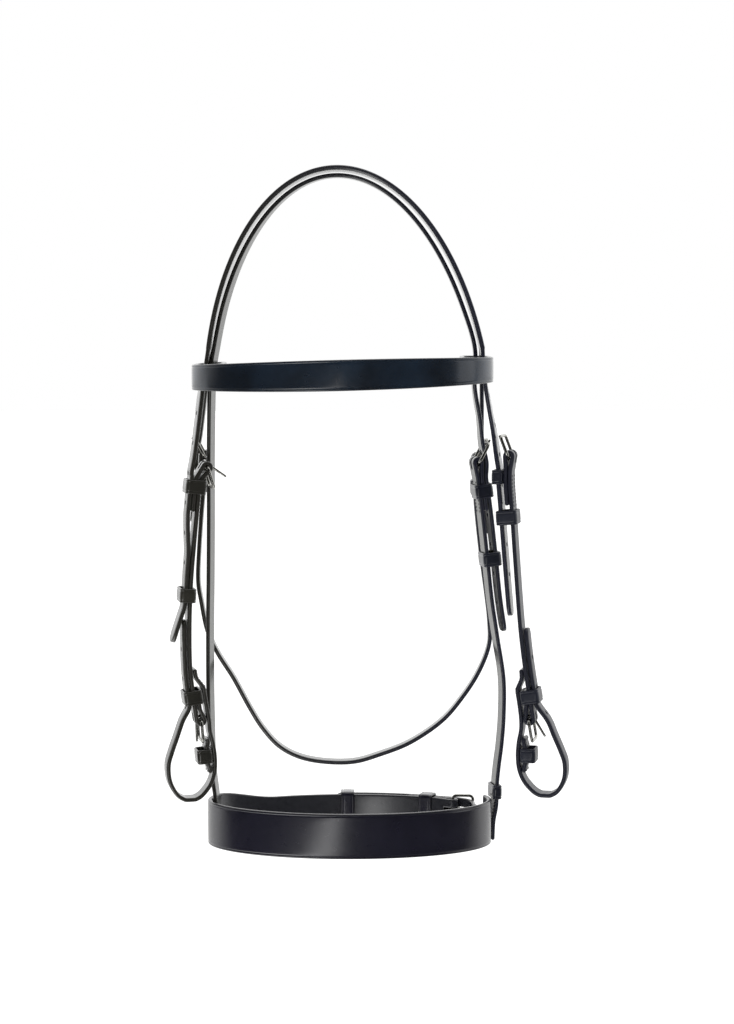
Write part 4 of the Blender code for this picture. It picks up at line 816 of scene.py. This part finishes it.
def fit(piece, node, leather, home=None, cutters=()):
    """Cuts a piece, moves its own mesh from its frame to its place and dresses it."""
    if cutters:
        carve(piece, cutters)
    if home is not None:
        verts = np.empty(len(piece.data.vertices) * 3)
        piece.data.vertices.foreach_get("co", verts)
        piece.data.vertices.foreach_set("co", send(home, verts.reshape(-1, 3)).ravel())
        piece.data.update()
    dress(piece, leather, node)


def keeper(node, depth, width, matrix, leather):
    """A keeper: a short strap bent into a rounded ring, with the strap that it holds along its Z."""
    outline = rounded_box((depth + KEEPER_WALL) / 2, (width + KEEPER_WALL) / 2, KEEPER_CORNER, 6, 0)
    outline = np.hstack([outline, np.zeros((len(outline), 1))])
    piece = strap(node, outline, KEEPER_HEIGHT, KEEPER_WALL, across=Z_AXIS, ring=True, step=KEEPER_STEP)
    fit(piece, node, leather, matrix)


def upright_at(route, place, shift=0.0):
    """The frame at a distance along a route: its Z runs back up the route and its origin is moved aside."""
    ahead = heading(route, np.array([place]))[0]
    centre = at(route, np.array([place]))[0] + side_of(ahead) * shift
    return matrix_of(centre, "Y", math.atan2(-ahead[0], -ahead[2]))


def keeper_on(node, seam, place, layers, width, leather, matrix, slack=KEEPER_SLACK):
    """A keeper round the layers beside a seam."""
    low, high = layers
    depth = (high - low) * LAYER - TOUCH_GAP + 2 * slack
    own = upright_at(seam, place, (high + low) / 2 * LAYER)
    keeper(node, depth, width + 2 * slack, matrix @ own, leather)


def fasten(name, width, home, seam, leather, runner=None):
    """The buckle and keeper of a fastened strap, and its runner where it has one."""
    buckle(name % "buckle_#", width, home)
    keeper_on(name % "keeper", seam, KEEPER_PLACE, (-1, 2), width, leather, home)
    if runner:
        keeper_on(name % "runner", seam, runner, (-1, 2), width, leather, home, RUNNER_SLACK)


def used_hole(route):
    """Where a fastened tongue meets its strap: the nearest point of the route to the tongue's line."""
    along = np.array((math.sin(FRAME_TILT), 0.0, math.cos(FRAME_TILT)))
    start = np.array((math.cos(FRAME_TILT), 0.0, -math.sin(FRAME_TILT))) * TONGUE_EYE
    places = np.linspace(0.0, run_of(route)[-1], 800)
    points = at(route, places)
    reach = (points - start) @ along
    miss = np.linalg.norm(start + reach[:, None] * along - points, axis=1)
    miss[(reach < 0.0) | (reach > FRAME_LENGTH)] = 1.0
    return places[miss.argmin()]


def holes_on(route, places, across, length=HOLE_DIAMETER):
    """Punches at distances along a route."""
    places = np.asarray(places, float)
    ahead = heading(route, places)
    side = np.broadcast_to(across, ahead.shape)
    return punch(at(route, places), ahead, side, length)


def slot_cutter(matrix):
    """The slot through a fold for the eye of its tongue: a rounded cutter down the fold's middle."""
    centre = send(matrix, [(0.0, 0.0, SLOT_SHIFT)])
    return punch(centre, [matrix[:3, 2]], [matrix[:3, 1]], SLOT_LENGTH, SLOT_WIDTH)


# ---------------------------------------------------------------- the bridle

def build_headpiece(legs, holes):
    """Crown with its two split ends: three strips of columns, of which the middle one stops at the splits."""
    crown = crown_arch(ARCH_HALF_WIDTH, CROWN_CENTRE_HEIGHT, 0.0)
    strips = []
    for index, (width, shift) in enumerate(((CHEEK_WIDTH, (CHEEK_WIDTH - CROWN_WIDTH) / 2),
                                            (THROAT_WIDTH, (CROWN_WIDTH - THROAT_WIDTH) / 2))):
        (off_line, off_side, off_half), (near_line, near_side, near_half) = legs[0][index], legs[1][index]
        line = np.vstack([off_line[::-1], crown[1:-1] + (0, shift, 0), near_line])
        side = np.vstack([off_side[::-1], np.broadcast_to(Y_AXIS, crown[1:-1].shape), near_side])
        half = np.concatenate([off_half[::-1], np.full(len(crown) - 2, width / 2), near_half])
        ahead = unit(np.gradient(line, axis=0))
        normal = unit(np.cross(ahead, side))
        offset = columns_for(width / 2)
        grid = line[:, None] + side[:, None] * (offset * (half * 2 / width)[:, None])[..., None]
        strips.append((grid, np.broadcast_to(normal[:, None], grid.shape), offset, width / 2))
    (front, front_normal, front_offset, front_half), (rear, rear_normal, rear_offset, rear_half) = strips
    shares = np.array((0.25, 0.5, 0.75))[None, :, None]
    middle_columns = shares.size
    centre = np.concatenate([front, front[:, -1:] * (1 - shares) + rear[:, :1] * shares, rear], 1)
    normal = np.concatenate([front_normal, front_normal[:, :middle_columns], rear_normal], 1)
    rows = len(centre)
    leg = LEG_ROWS + 1
    in_crown = np.zeros(rows, bool)
    in_crown[leg - 1:rows - leg + 1] = True
    front_skin, rear_skin = skin(front_offset, front_half, LEATHER), skin(rear_offset, rear_half, LEATHER)
    leg_face, leg_back = (np.concatenate([front_side, np.full(middle_columns, LEATHER / 2), rear_side])
                          for front_side, rear_side in zip(front_skin, rear_skin))
    from_front = front_offset - (CROWN_WIDTH - CHEEK_WIDTH) / 2
    from_rear = rear_offset + (CROWN_WIDTH - THROAT_WIDTH) / 2
    between = from_front[-1] * (1 - shares) + from_rear[0] * shares
    wide = np.concatenate([from_front, between[0, :, 0], from_rear])
    crown_face, crown_back = skin(wide, CROWN_WIDTH / 2, CROWN_LEATHER)
    face = np.where(in_crown[:, None], crown_face, leg_face)
    back = np.where(in_crown[:, None], crown_back, leg_back)
    ends = rounding(np.minimum(np.arange(rows), np.arange(rows)[::-1]) * LEG_END_STEP)[:, None]
    leg_rim = np.concatenate([rim_of(front_offset, front_half), np.zeros(middle_columns),
                              rim_of(rear_offset, rear_half)])
    rim = np.where(in_crown[:, None], rim_of(wide, CROWN_WIDTH / 2), leg_rim)
    keep = np.ones((rows - 1, centre.shape[1] - 1), bool)
    outside = ~(in_crown[:-1] & in_crown[1:])
    keep[outside, len(front_offset) - 1:len(front_offset) + middle_columns] = False
    piece = slab("headpiece_leather", centre, normal, face * ends, back * ends, rim, keep)
    fit(piece, "headpiece", CHEEK_LEATHER, cutters=holes)


def leg_line(crown_end, leads, end, shift):
    """A smooth route from the crown's end by its leads, shares of the way, on to its tail."""
    start = crown_end + (0, shift, 0)
    way = [start] + [start + (end[0] - start) * np.array(lead) for lead in leads]
    return smooth(np.vstack(way + [end]), 6)


def leg_strip(line, width, side, turn_share):
    """A leg's points, sides and half widths in LEG_ROWS steps, with closer rows at its rounded tip."""
    total = run_of(line)[-1]
    tip = width * 0.5
    share = np.linspace(0.0, 1.0, LEG_ROWS + 1)
    body = 1 - LEG_TIP_ROWS_SHARE
    places = np.where(share < body, (total - tip) * share / body,
                      total - tip * (1 - np.sin((share - body) / (1 - body) * math.pi / 2)))
    turn = np.clip(share / turn_share, 0, 1)[:, None]
    sides = unit(Y_AXIS * (1 - turn) + side * turn)
    return at(line, places), sides, width / 2 * tip_width(total - places, tip)


def build_cheek(tag, side):
    """A cheekpiece, its two undone buckles, keepers and stitching, and the billet loop under it."""
    outward, leather = side["outward"], side["leather"]
    matrix = matrix_of(side["bar"], "Z", math.pi + outward * CHEEK_YAW)
    seam = table_seam(side["seam"], side["bow"], side["drop"])
    main = beside(seam, -LAYER / 2)
    total = run_of(main)[-1]
    bit_bar = main[-1] - (outward * FOLD_RADIUS, 0, 0)
    over = fold(side["fold_turn"], 180 + side["fold_turn"])
    under = fold(0, -180, bit_bar) if outward > 0 else fold(180, 360, bit_bar)
    returned = beside(main, -outward * LAYER)
    back = stretch(returned, total - FOLD_LENGTH, total - RETURN_LENGTH, 12)
    body = stretch(main, FOLD_LENGTH, total - FOLD_LENGTH, 90)
    route = np.vstack([chape(seam, CHAPE_LENGTH), over, body, under, back])
    turned = matrix_of(bit_bar, "X" if outward > 0 else "Y", math.pi)
    slots = slot_cutter(matrix_of(axis="Y", angle=-math.radians(side["fold_turn"]))) + slot_cutter(turned)
    node = "cheekpiece_" + tag
    fit(strap(node, route, CHEEK_WIDTH, step=CHEEK_STEP), node, leather, matrix, slots)
    buckle("cheek_buckle_#_" + tag, CHEEK_WIDTH, matrix, *side["tilts"])
    for kind, slack in (("keeper", KEEPER_SLACK), ("runner", RUNNER_SLACK)):
        keeper_on("cheek_%s_%s" % (kind, tag), seam, side[kind], side[kind + "_layers"], CHEEK_WIDTH, leather,
                  matrix, slack)
    width = CHEEK_WIDTH - 2 * STITCH_INSET
    rows = stitch_lines(main, *CHEEK_SEWN, width, -THREAD_LIFT)
    rows += stitch_lines(beside(seam, LAYER / 2), *CHEEK_CHAPE_SEWN, width)
    build_bit_end(tag, side, matrix, turned, main, sent(matrix, rows))


def build_bit_end(tag, side, matrix, turned, main, rows):
    """The billet loop, the undone bit buckle, its keepers, the lower one's lining and the lap's stitches."""
    home = matrix @ turned
    leather = side["leather"]
    seam = send(np.linalg.inv(turned), beside(main, -side["outward"] * LAYER / 2)[::-1])
    lap = stepped(seam, BILLET_LAP_SHARES, 0.0, BILLET_LAP, -LAYER / 2, -2 * FOLD_RADIUS)
    at_bar = (-FOLD_RADIUS - LAYER, 0, 0)
    tail = stretch(beside(seam, OVER_CHAPE + TAIL_SLACK), FOLD_LENGTH, side["billet_tail"], 5)

    def loop_points(table):
        """Loop points from shares of its drop and half width, leaning as the loop hangs."""
        down, sideways = np.array(table).T
        drop = side["loop_drop"] * down
        return np.stack([LOOP_CENTRE + LOOP_HALF_WIDTH * sideways + side["lean"] * drop, 0 * down, drop], -1)

    first = smooth(np.vstack([lap, at_bar, loop_points(LOOP_INNER)]))
    second = smooth(np.vstack([loop_points(LOOP_OUTER), tail[:2]]))
    route = np.vstack([first, second, tail[2:]])
    node = "bit_billet_" + tag
    billet = strap(node, route, BILLET_WIDTH, tip=BILLET_WIDTH / 2, step=FINE_STEP)
    route = relaxed(route, FINE_STEP)
    holes = holes_on(route, run_of(route)[-1] - HOLE_PITCH * np.arange(1, 4), Y_AXIS)
    fit(billet, node, leather, home, holes)
    buckle("bit_buckle_#_" + tag, CHEEK_WIDTH, home, side["bit_tilt"], side["bit_tilt"] + side["tongue_tilt"])
    keeper_on("bit_upper_keeper_" + tag, seam, BIT_KEEPER_PLACE, (-1, 2 + TAIL_SLACK / LAYER), CHEEK_WIDTH,
              leather, home)
    inner = smooth(np.vstack([lap[-2:], at_bar, loop_points(LOOP_INNER)]))[16:]
    way = math.copysign(1.0, side_of(heading(inner, np.array([EMPTY_KEEPER_PLACE])))[0, 0])
    shift = LEATHER / 2 + TOUCH_GAP + KEEPER_WALL + EMPTY_KEEPER_DEPTH / 2
    keeper("bit_lower_keeper_" + tag, EMPTY_KEEPER_DEPTH, BILLET_WIDTH + 2 * TOUCH_GAP,
           home @ upright_at(inner, EMPTY_KEEPER_PLACE, shift * way), leather)
    lining = smooth(stepped(inner, LINING_SHARES, EMPTY_KEEPER_PLACE, LINING_REACH, LAYER * way,
                            (KEEPER_WALL + TOUCH_GAP) * way), 5)
    node = "bit_lining_" + tag
    fit(strap(node, lining, BILLET_WIDTH, step=CHEEK_STEP, face_side=way), node, leather, home)
    width = BILLET_WIDTH - 2 * STITCH_INSET
    line = smooth(lap)
    under = stitch_lines(line, LAP_MARGIN, run_of(line)[-1] - LAP_MARGIN, width)
    for start in (LINING_MARGIN, run_of(lining)[-1] - LINING_MARGIN - LINING_SEWN):
        under += stitch_lines(lining, start, start + LINING_SEWN, width, way * THREAD_LIFT)
    dress(stitches("cheek_stitching_" + tag, rows + sent(home, under)), THREAD)


def build_throatlatch():
    """The throatlatch, folded round a fastened buckle at each end; gives each end's frame and seam."""
    side, down = np.array(THROAT_SHARES).T
    points = np.stack([THROAT_HALF_SPAN * side, np.full(len(side), OFF_THROAT_BAR[1]),
                       OFF_THROAT_BAR[2] - THROAT_DROP * down], -1)
    seam = smooth(np.vstack([OFF_THROAT_BAR, points, NEAR_THROAT_BAR]))
    off, near = matrix_of(OFF_THROAT_BAR, "Z", math.pi), matrix_of(NEAR_THROAT_BAR)
    ends = ((off, send(np.linalg.inv(off), seam)), (near, seam[::-1] - NEAR_THROAT_BAR))
    main = beside(seam, LAYER / 2)
    total = run_of(main)[-1]
    off_end, near_end = (send(home, np.vstack([chape(own, THROAT_CHAPE_LENGTH), fold()]))
                         for home, own in ends)
    route = np.vstack([off_end, stretch(main, FOLD_LENGTH, total - FOLD_LENGTH, 400), near_end[::-1]])
    piece = strap("throatlatch", route, THROAT_WIDTH, step=FINE_STEP, face_side=-1.0)
    fit(piece, "throatlatch", CHEEK_LEATHER, cutters=slot_cutter(off) + slot_cutter(near))
    rows = []
    for tag, (home, own) in zip(("off", "near"), ends):
        fasten("throat_%s_" + tag, THROAT_WIDTH, home, own, CHEEK_LEATHER)
        inside = beside(own, -LAYER / 2)
        rows += sent(home, stitch_lines(inside, *THROAT_SEWN, THROAT_WIDTH - 2 * STITCH_INSET, -THREAD_LIFT))
    dress(stitches("throatlatch_stitching", rows), THREAD)
    return ends


def build_headstrap(hanger_seam):
    """The noseband's head strap: up the off side, over the poll and down to the hanger's buckle."""
    size = np.array((HEADSTRAP_REACH, HEADSTRAP_SETBACK, -HEADSTRAP_END))
    off = np.array(HEADSTRAP_SHARES)[:, (1, 2, 0)] * size * (-1, 1, 1)
    lead = np.array(HEADSTRAP_LEAD_SHARES)[:, (1, 2, 0)] * size
    poll = crown_arch(ARCH_HALF_WIDTH - LAYER - TOUCH_GAP, LEATHER / 2, ARCH_SLACK, 28)[::2]
    home = hanger_matrix()
    route = smooth(np.vstack([off[::-1], poll, lead, send(home, buckled_tail(hanger_seam, HANGER_TAIL))]), 6)
    line = relaxed(route)
    total = run_of(line)[-1]

    def across(share):
        """Level at the poll and down to the near buckle, and turned with the off cheek and the hanger."""
        points = at(line, np.asarray(share) * total)
        left = np.minimum((points[..., 2] + HEADSTRAP_END) / HEADSTRAP_SETTLE_HEIGHT, 1.0)
        off = (HEADSTRAP_TURN * np.maximum(points[..., 0] / HEADSTRAP_TURN_REACH, -1.0)
               * (HEADSTRAP_END_TURN_SHARE + (1 - HEADSTRAP_END_TURN_SHARE) * left))
        reached = 1 + (HANGER_BAR[2] - points[..., 2]) / HEADSTRAP_TURN_REACH
        turn = np.where(points[..., 0] > 0, HANGER_TURN * np.clip(reached, 0.0, 1.0) ** 2, off)
        return np.stack([-np.sin(turn), np.cos(turn), 0 * turn], -1)

    piece = strap("noseband_headstrap", route, HEADSTRAP_WIDTH, across=across, tip=HEADSTRAP_WIDTH / 2)
    cutters = holes_on(line, total - HOLE_PITCH * np.arange(1, 6), across(1.0))
    start = total - HANGER_TAIL - HANGER_REACH
    used = start + used_hole(send(np.linalg.inv(home), stretch(line, start, total, 199)))
    cutters += holes_on(line, [used], across(1.0), USED_HOLE_LENGTH)
    fit(piece, "noseband_headstrap", CHEEK_LEATHER, cutters=cutters)


def build_hanger(seam):
    """The near hanger: folded round its buckle, and sewn at its foot to the noseband."""
    home = hanger_matrix()
    main = beside(seam, -LAYER / 2)
    total = run_of(main)[-1]
    route = np.vstack([chape(seam, CHAPE_LENGTH), fold(), stretch(main, FOLD_LENGTH, total, 150)])
    piece = strap("noseband_hanger", route, HEADSTRAP_WIDTH, step=FINE_STEP)
    fit(piece, "noseband_hanger", CHEEK_LEATHER, home, slot_cutter(np.eye(4)))
    fasten("hanger_%s", HEADSTRAP_WIDTH, home, seam, CHEEK_LEATHER, HANGER_RUNNER_PLACE)
    keeper("noseband_box_keeper", LEATHER + 2 * KEEPER_SLACK, HEADSTRAP_WIDTH + 2 * KEEPER_SLACK,
           home @ upright_at(main, BOX_KEEPER_DROP), CHEEK_LEATHER)
    width = HEADSTRAP_WIDTH - 2 * STITCH_INSET
    rows = stitch_lines(main, *HANGER_SEWN, width, -THREAD_LIFT)
    for lift in (-THREAD_LIFT, THREAD_LIFT):
        rows += stitch_lines(main, *(total - np.array(HANGER_FOOT_SEWN)), width, lift)
    dress(stitches("noseband_hanger_stitching", sent(home, rows)), THREAD)


def build_browband():
    """The browband: an elliptic front whose ends fold back round the headpiece and are sewn inside."""
    def bow(angle, inset=0.0):
        """Front of the band at angles from the off side: an ellipse, less an inset."""
        angle = np.asarray(angle, float)
        return np.stack([BROWBAND_CENTRE[0] - (BROWBAND_HALF_SPAN - inset) * np.cos(angle),
                         BROWBAND_CENTRE[1] - (BROWBAND_BOW - inset) * np.sin(angle), 0 * angle], -1)

    low, high = BROWBAND_LAP_ANGLES
    lap = bow(high + (low - high) * np.arange(4) / 3, BROWBAND_LEATHER + 2 * TOUCH_GAP)
    across, back = np.array(BROWBAND_LOOP_SHARES).T
    loop = np.stack([BROWBAND_CENTRE[0] - BROWBAND_INNER - (BROWBAND_HALF_SPAN - BROWBAND_INNER) * across,
                     BROWBAND_CENTRE[1] + BROWBAND_REAR * back, 0 * back], -1)
    off = np.vstack([lap, loop])
    near = off[::-1] * (-1, 1, 1) + (2 * BROWBAND_CENTRE[0], 0, 0)
    route = smooth(np.vstack([off, bow(math.pi * np.arange(1, 16) / 16), near]), 10)
    route[:, 2] = -BROWBAND_DROP + BROWBAND_RISE * (route[:, 0] - BROWBAND_CENTRE[0]) / BROWBAND_HALF_SPAN
    line = relaxed(route)
    total = run_of(line)[-1]

    def width(share):
        """Deeper in the middle than at the ends: full depth less a share by the square of the way aside."""
        aside = (at(line, share * total)[:, 0] - BROWBAND_CENTRE[0]) / BROWBAND_HALF_SPAN
        return BROWBAND_CENTRE_WIDTH - (BROWBAND_CENTRE_WIDTH - BROWBAND_END_WIDTH) * aside ** 2

    fit(strap("browband", route, width, BROWBAND_LEATHER, across=Z_AXIS), "browband", NAVY_LEATHER)
    sewn = BROWBAND_CENTRE[1] + BROWBAND_REAR * BROWBAND_SEWN_SHARE
    elsewhere = line[:, 0] > BROWBAND_CENTRE[0] - BROWBAND_HALF_SPAN + BROWBAND_END_REACH
    folded = run_of(line)[np.argmin(np.abs(line[:, 1] - sewn) + elsewhere)]
    rows = []
    for start in (folded, total - folded):
        rows += stitch_lines(line, start, start + BROWBAND_SEWN, BROWBAND_SEWN_WIDTH,
                             BROWBAND_LEATHER / 2 + THREAD_RISE, Z_AXIS)
    dress(stitches("browband_stitching", rows), THREAD, body="browband_body")


def build_noseband():
    """The noseband with its tapered chin strap, and the billet from its near end to the chin buckle."""
    origin = noseband_ring(CHIN_BAR_ANGLE, LAYER / 2)
    along = unit(noseband_ring(CHIN_BAR_ANGLE - 0.01) - noseband_ring(CHIN_BAR_ANGLE + 0.01))
    home = np.eye(4)
    home[:3, :3] = np.stack([np.cross(Z_AXIS, along), Z_AXIS, along], 1)
    home[:3, 3] = origin
    inverse = np.linalg.inv(home)
    angles = np.linspace(CHIN_BAR_ANGLE, math.tau + NOSEBAND_END_ANGLE, 400)
    seam = send(inverse, noseband_ring(angles, LAYER / 2))
    main = send(inverse, noseband_ring(angles))
    run = run_of(main)
    start = np.vstack([chape(seam, CHAPE_LENGTH), fold()])
    route = np.vstack([start, main[run > FOLD_LENGTH]])
    total = run_of(route)[-1]
    skipped = total - run[-1]
    low, high = (skipped + np.interp(math.tau + angle, angles, run) for angle in NOSEBAND_TAPER_ANGLES)

    def width(share):
        """Narrow at the chin and full depth from the off side on, with a smooth step between."""
        way = np.clip((share * total - low) / (high - low), 0.0, 1.0)
        return CHIN_WIDTH + (NOSEBAND_WIDTH - CHIN_WIDTH) * way * way * (3 - 2 * way)

    piece = strap("noseband", route, width, step=NOSEBAND_STEP)
    fit(piece, "noseband", NOSE_LEATHER, home, slot_cutter(np.eye(4)))
    fasten("chin_%s", CHIN_WIDTH, home, seam, NOSE_LEATHER, CHIN_RUNNER_PLACE)
    inner = noseband_ring(np.linspace(CHIN_BILLET_ANGLE, CHIN_LEAD_ANGLE, 9), -LEATHER - TOUCH_GAP)
    billet_route = smooth(np.vstack([send(inverse, inner), buckled_tail(seam, CHIN_TAIL)]), 6)
    billet = strap("chin_billet", billet_route, CHIN_WIDTH, tip=CHIN_WIDTH / 2, step=FINE_STEP)
    line = relaxed(billet_route, FINE_STEP)
    holes = holes_on(line, run_of(line)[-1] - HOLE_PITCH * np.arange(1, 4), Y_AXIS)
    holes += holes_on(line, [used_hole(line)], Y_AXIS, CHIN_USED_HOLE_LENGTH)
    fit(billet, "chin_billet", NOSE_LEATHER, home, holes)
    rows = stitch_lines(main, *CHIN_SEWN, CHIN_WIDTH - 2 * STITCH_INSET, -THREAD_LIFT)
    dress(stitches("chin_stitching", sent(home, rows)), THREAD)


def build_bridle():
    """Every piece of the bridle, each where its solid is."""
    throat_ends = build_throatlatch()
    hanger_seam = table_seam(HANGER_SHARES, HANGER_BOW, HANGER_DROP)
    crown = crown_arch(ARCH_HALF_WIDTH, CROWN_CENTRE_HEIGHT, 0.0)
    legs, cutters = [], []
    for tag, crown_end, (home, throat_seam), throat_tail in zip(
            ("off", "near"), (crown[0], crown[-1]), throat_ends, (OFF_THROAT_TAIL, NEAR_THROAT_TAIL)):
        side = SIDES[tag]
        matrix = matrix_of(side["bar"], "Z", math.pi + side["outward"] * CHEEK_YAW)
        seam = table_seam(side["seam"], side["bow"], side["drop"])
        front = leg_line(crown_end, side["leads"], send(matrix, passing_tail(side, seam)),
                         (CHEEK_WIDTH - CROWN_WIDTH) / 2)
        rear = leg_line(crown_end, THROAT_LEAD_SHARES, send(home, buckled_tail(throat_seam, throat_tail)),
                        (CROWN_WIDTH - THROAT_WIDTH) / 2)
        across = -matrix[:3, 1]
        legs.append((leg_strip(front, CHEEK_WIDTH, across, side["turn_share"]),
                     leg_strip(rear, THROAT_WIDTH, Y_AXIS, side["turn_share"])))
        bar_place = run_of(front)[-1] - side["tail"]
        cutters += holes_on(front, bar_place + HOLE_PITCH * np.array(side["holes"]), across)
        total = run_of(rear)[-1]
        cutters += holes_on(rear, total - THROAT_HOLE_PLACE - HOLE_PITCH * np.arange(2), Y_AXIS)
        cutters += holes_on(rear, [used_hole(send(np.linalg.inv(home), rear))], Y_AXIS, USED_HOLE_LENGTH)
    build_headpiece(legs, cutters)
    build_headstrap(hanger_seam)
    build_hanger(hanger_seam)
    build_browband()
    build_noseband()
    for tag, side in SIDES.items():
        build_cheek(tag, side)


build_bridle()

# ---------------------------------------------------------------- studio

FLOOR_HEIGHT = -1.05
FLOOR_RINGS = np.array((0.01, 1.5, 6.0, 20.0))
FLOOR_SPOKES = 64
WHITE = (1.0, 1.0, 1.0, 1.0)
CAMERA_PLACE = (0.0221, -2.0, -0.110075)
CAMERA_PITCH = math.radians(90 - 4.9068)
CAMERA_LENS = 83.025
# Each lamp: where it is, what it looks at, its size, its power and whether the gloss shows it
LAMPS = {
    "key_softbox": ((-0.95, -1.85, -0.1), (0.0, 0.0, -0.35), (0.5, 1.4), 4.0, False),
    "top_softbox": ((0.3, -0.1, 1.7), (0.0, 0.0, -0.2), (1.6, 1.2), 6.0, True),
    "fill_softbox": ((1.9, -0.6, 0.1), (0.0, 0.0, -0.3), (0.8, 1.4), 2.0, True),
}


def make_floor():
    """A wide pale floor below the hanging bridle: a disc of rings and spokes. For glossy rays only it is
    painted dark in front, a painted shade, and glows in a soft painted pool of light to the left, a painted
    reflection which makes the noseband's highlight."""
    rings = len(FLOOR_RINGS)
    angle, radius = np.meshgrid(np.arange(FLOOR_SPOKES) / FLOOR_SPOKES * math.tau, FLOOR_RINGS, indexing="ij")
    verts = np.stack([radius * np.cos(angle), radius * np.sin(angle), 0 * radius + FLOOR_HEIGHT], -1)
    i, j = np.meshgrid(np.arange(FLOOR_SPOKES), np.arange(rings - 1), indexing="ij")
    here, after = i * rings + j, (i + 1) % FLOOR_SPOKES * rings + j
    quads = np.stack([here, here + 1, after + 1, after], -1).reshape(-1, 4)
    floor = new_mesh("floor", verts, quads, [[k * rings for k in range(FLOOR_SPOKES)]])
    material, tree, shader, where = start_material("white_paper_floor")
    paper = add(tree, NOISE, {"Vector": where, "Scale": 3.0, "Detail": 2.0})["Fac"]
    pale = add(tree, RAMP, (paper,), ((0.3, "#f4f4f3"), (0.7, "#f8f8f7")))[0]
    path = add(tree, "ShaderNodeLightPath")
    place = add(tree, "ShaderNodeSeparateXYZ", (where,))
    # Painted light for glossy rays only: the floor is painted dark in front and glows in a pool to the left
    left_of = add(tree, RANGE, (place["X"], -0.75, -0.45, 1.0, 0.0))[0]
    right_of = add(tree, RANGE, (place["X"], -0.35, -0.08, 0.0, 1.0))[0]
    outside_painted_pool = add(tree, MATH, (left_of, right_of), operation="ADD")[0]
    painted_pool = add(tree, RANGE, (outside_painted_pool, 0.0, 1.0, 1.3, 0.0))[0]
    front = add(tree, RANGE, (place["Y"], -0.5, 0.6, 1.0, 0.0))[0]
    gloss = add(tree, MATH, (front, path["Is Glossy Ray"]), operation="MULTIPLY")[0]
    # Painted shade: the floor's colour seen in gloss turns near-black in front, outside the pool
    gloss_painted_shade = add(tree, MATH, (gloss, outside_painted_pool), operation="MULTIPLY")[0]
    # Painted highlight: the floor glows in gloss inside the pool, which lights no surface but shows on the
    # noseband
    gloss_painted_glow = add(tree, MATH, (gloss, painted_pool), operation="MULTIPLY")[0]
    white_and_painted_glow = add(tree, MATH, (path["Is Camera Ray"], 0.5, gloss_painted_glow), operation="MULTIPLY_ADD")[0]
    colour = add(tree, MIX, {0: gloss_painted_shade, 6: pale, 7: linear("#0c0c0e")}, data_type="RGBA")[2]
    feed(tree, shader, {"Base Color": colour, "Roughness": 0.9, "Emission Color": WHITE,
                        "Emission Strength": white_and_painted_glow})
    floor.data.materials.append(material)


def make_world():
    """White surround for the camera and in the gloss, with a darker studio behind the camera."""
    world = bpy.data.worlds.new("studio")
    bpy.context.scene.world = world
    world.use_nodes = True
    tree = world.node_tree
    path = add(tree, "ShaderNodeLightPath")
    direction = add(tree, "ShaderNodeTexCoord")["Generated"]
    depth = add(tree, "ShaderNodeSeparateXYZ", (direction,))["Y"]
    shade = add(tree, RANGE, (depth, -0.35, 0.45, 0.008, 1.0))[0]
    direct = add(tree, MATH, (path["Is Camera Ray"], path["Is Transmission Ray"]), operation="ADD")[0]
    shown = add(tree, MATH, (path["Is Glossy Ray"], shade, direct), operation="MULTIPLY_ADD")[0]
    diffuse = add(tree, MATH, (path["Is Diffuse Ray"], 0.85), operation="MULTIPLY")[0]
    strength = add(tree, MATH, (shown, diffuse), operation="MAXIMUM")[0]
    feed(tree, tree.nodes["Background"], {"Strength": strength, "Color": WHITE})


def add_softbox(name, place, target, size, power, in_gloss):
    """A rectangular soft lamp that looks at a point."""
    lamp = bpy.data.lights.new(name, "AREA")
    lamp.shape = "RECTANGLE"
    lamp.size, lamp.size_y = size
    lamp.energy = power
    holder = bpy.data.objects.new(name, lamp)
    bpy.context.scene.collection.objects.link(holder)
    back = np.array(place) - np.array(target)
    holder.location = place
    holder.visible_glossy = in_gloss
    pitch = math.atan2(math.hypot(back[0], back[1]), back[2])
    holder.rotation_euler = (pitch, 0.0, math.atan2(back[0], -back[1]))


def make_camera():
    """The photograph's viewpoint: level with the browband, two metres away, looking a little down."""
    camera = bpy.data.cameras.new("camera")
    camera.lens = CAMERA_LENS
    camera.sensor_width = 36.0
    holder = bpy.data.objects.new("camera", camera)
    bpy.context.scene.collection.objects.link(holder)
    holder.location = CAMERA_PLACE
    holder.rotation_euler = (CAMERA_PITCH, 0.0, 0.0)
    bpy.context.scene.camera = holder


make_floor()
make_world()
for lamp_name, settings in LAMPS.items():
    add_softbox(lamp_name, *settings)
make_camera()
bpy.context.scene.view_settings.view_transform = "Standard"
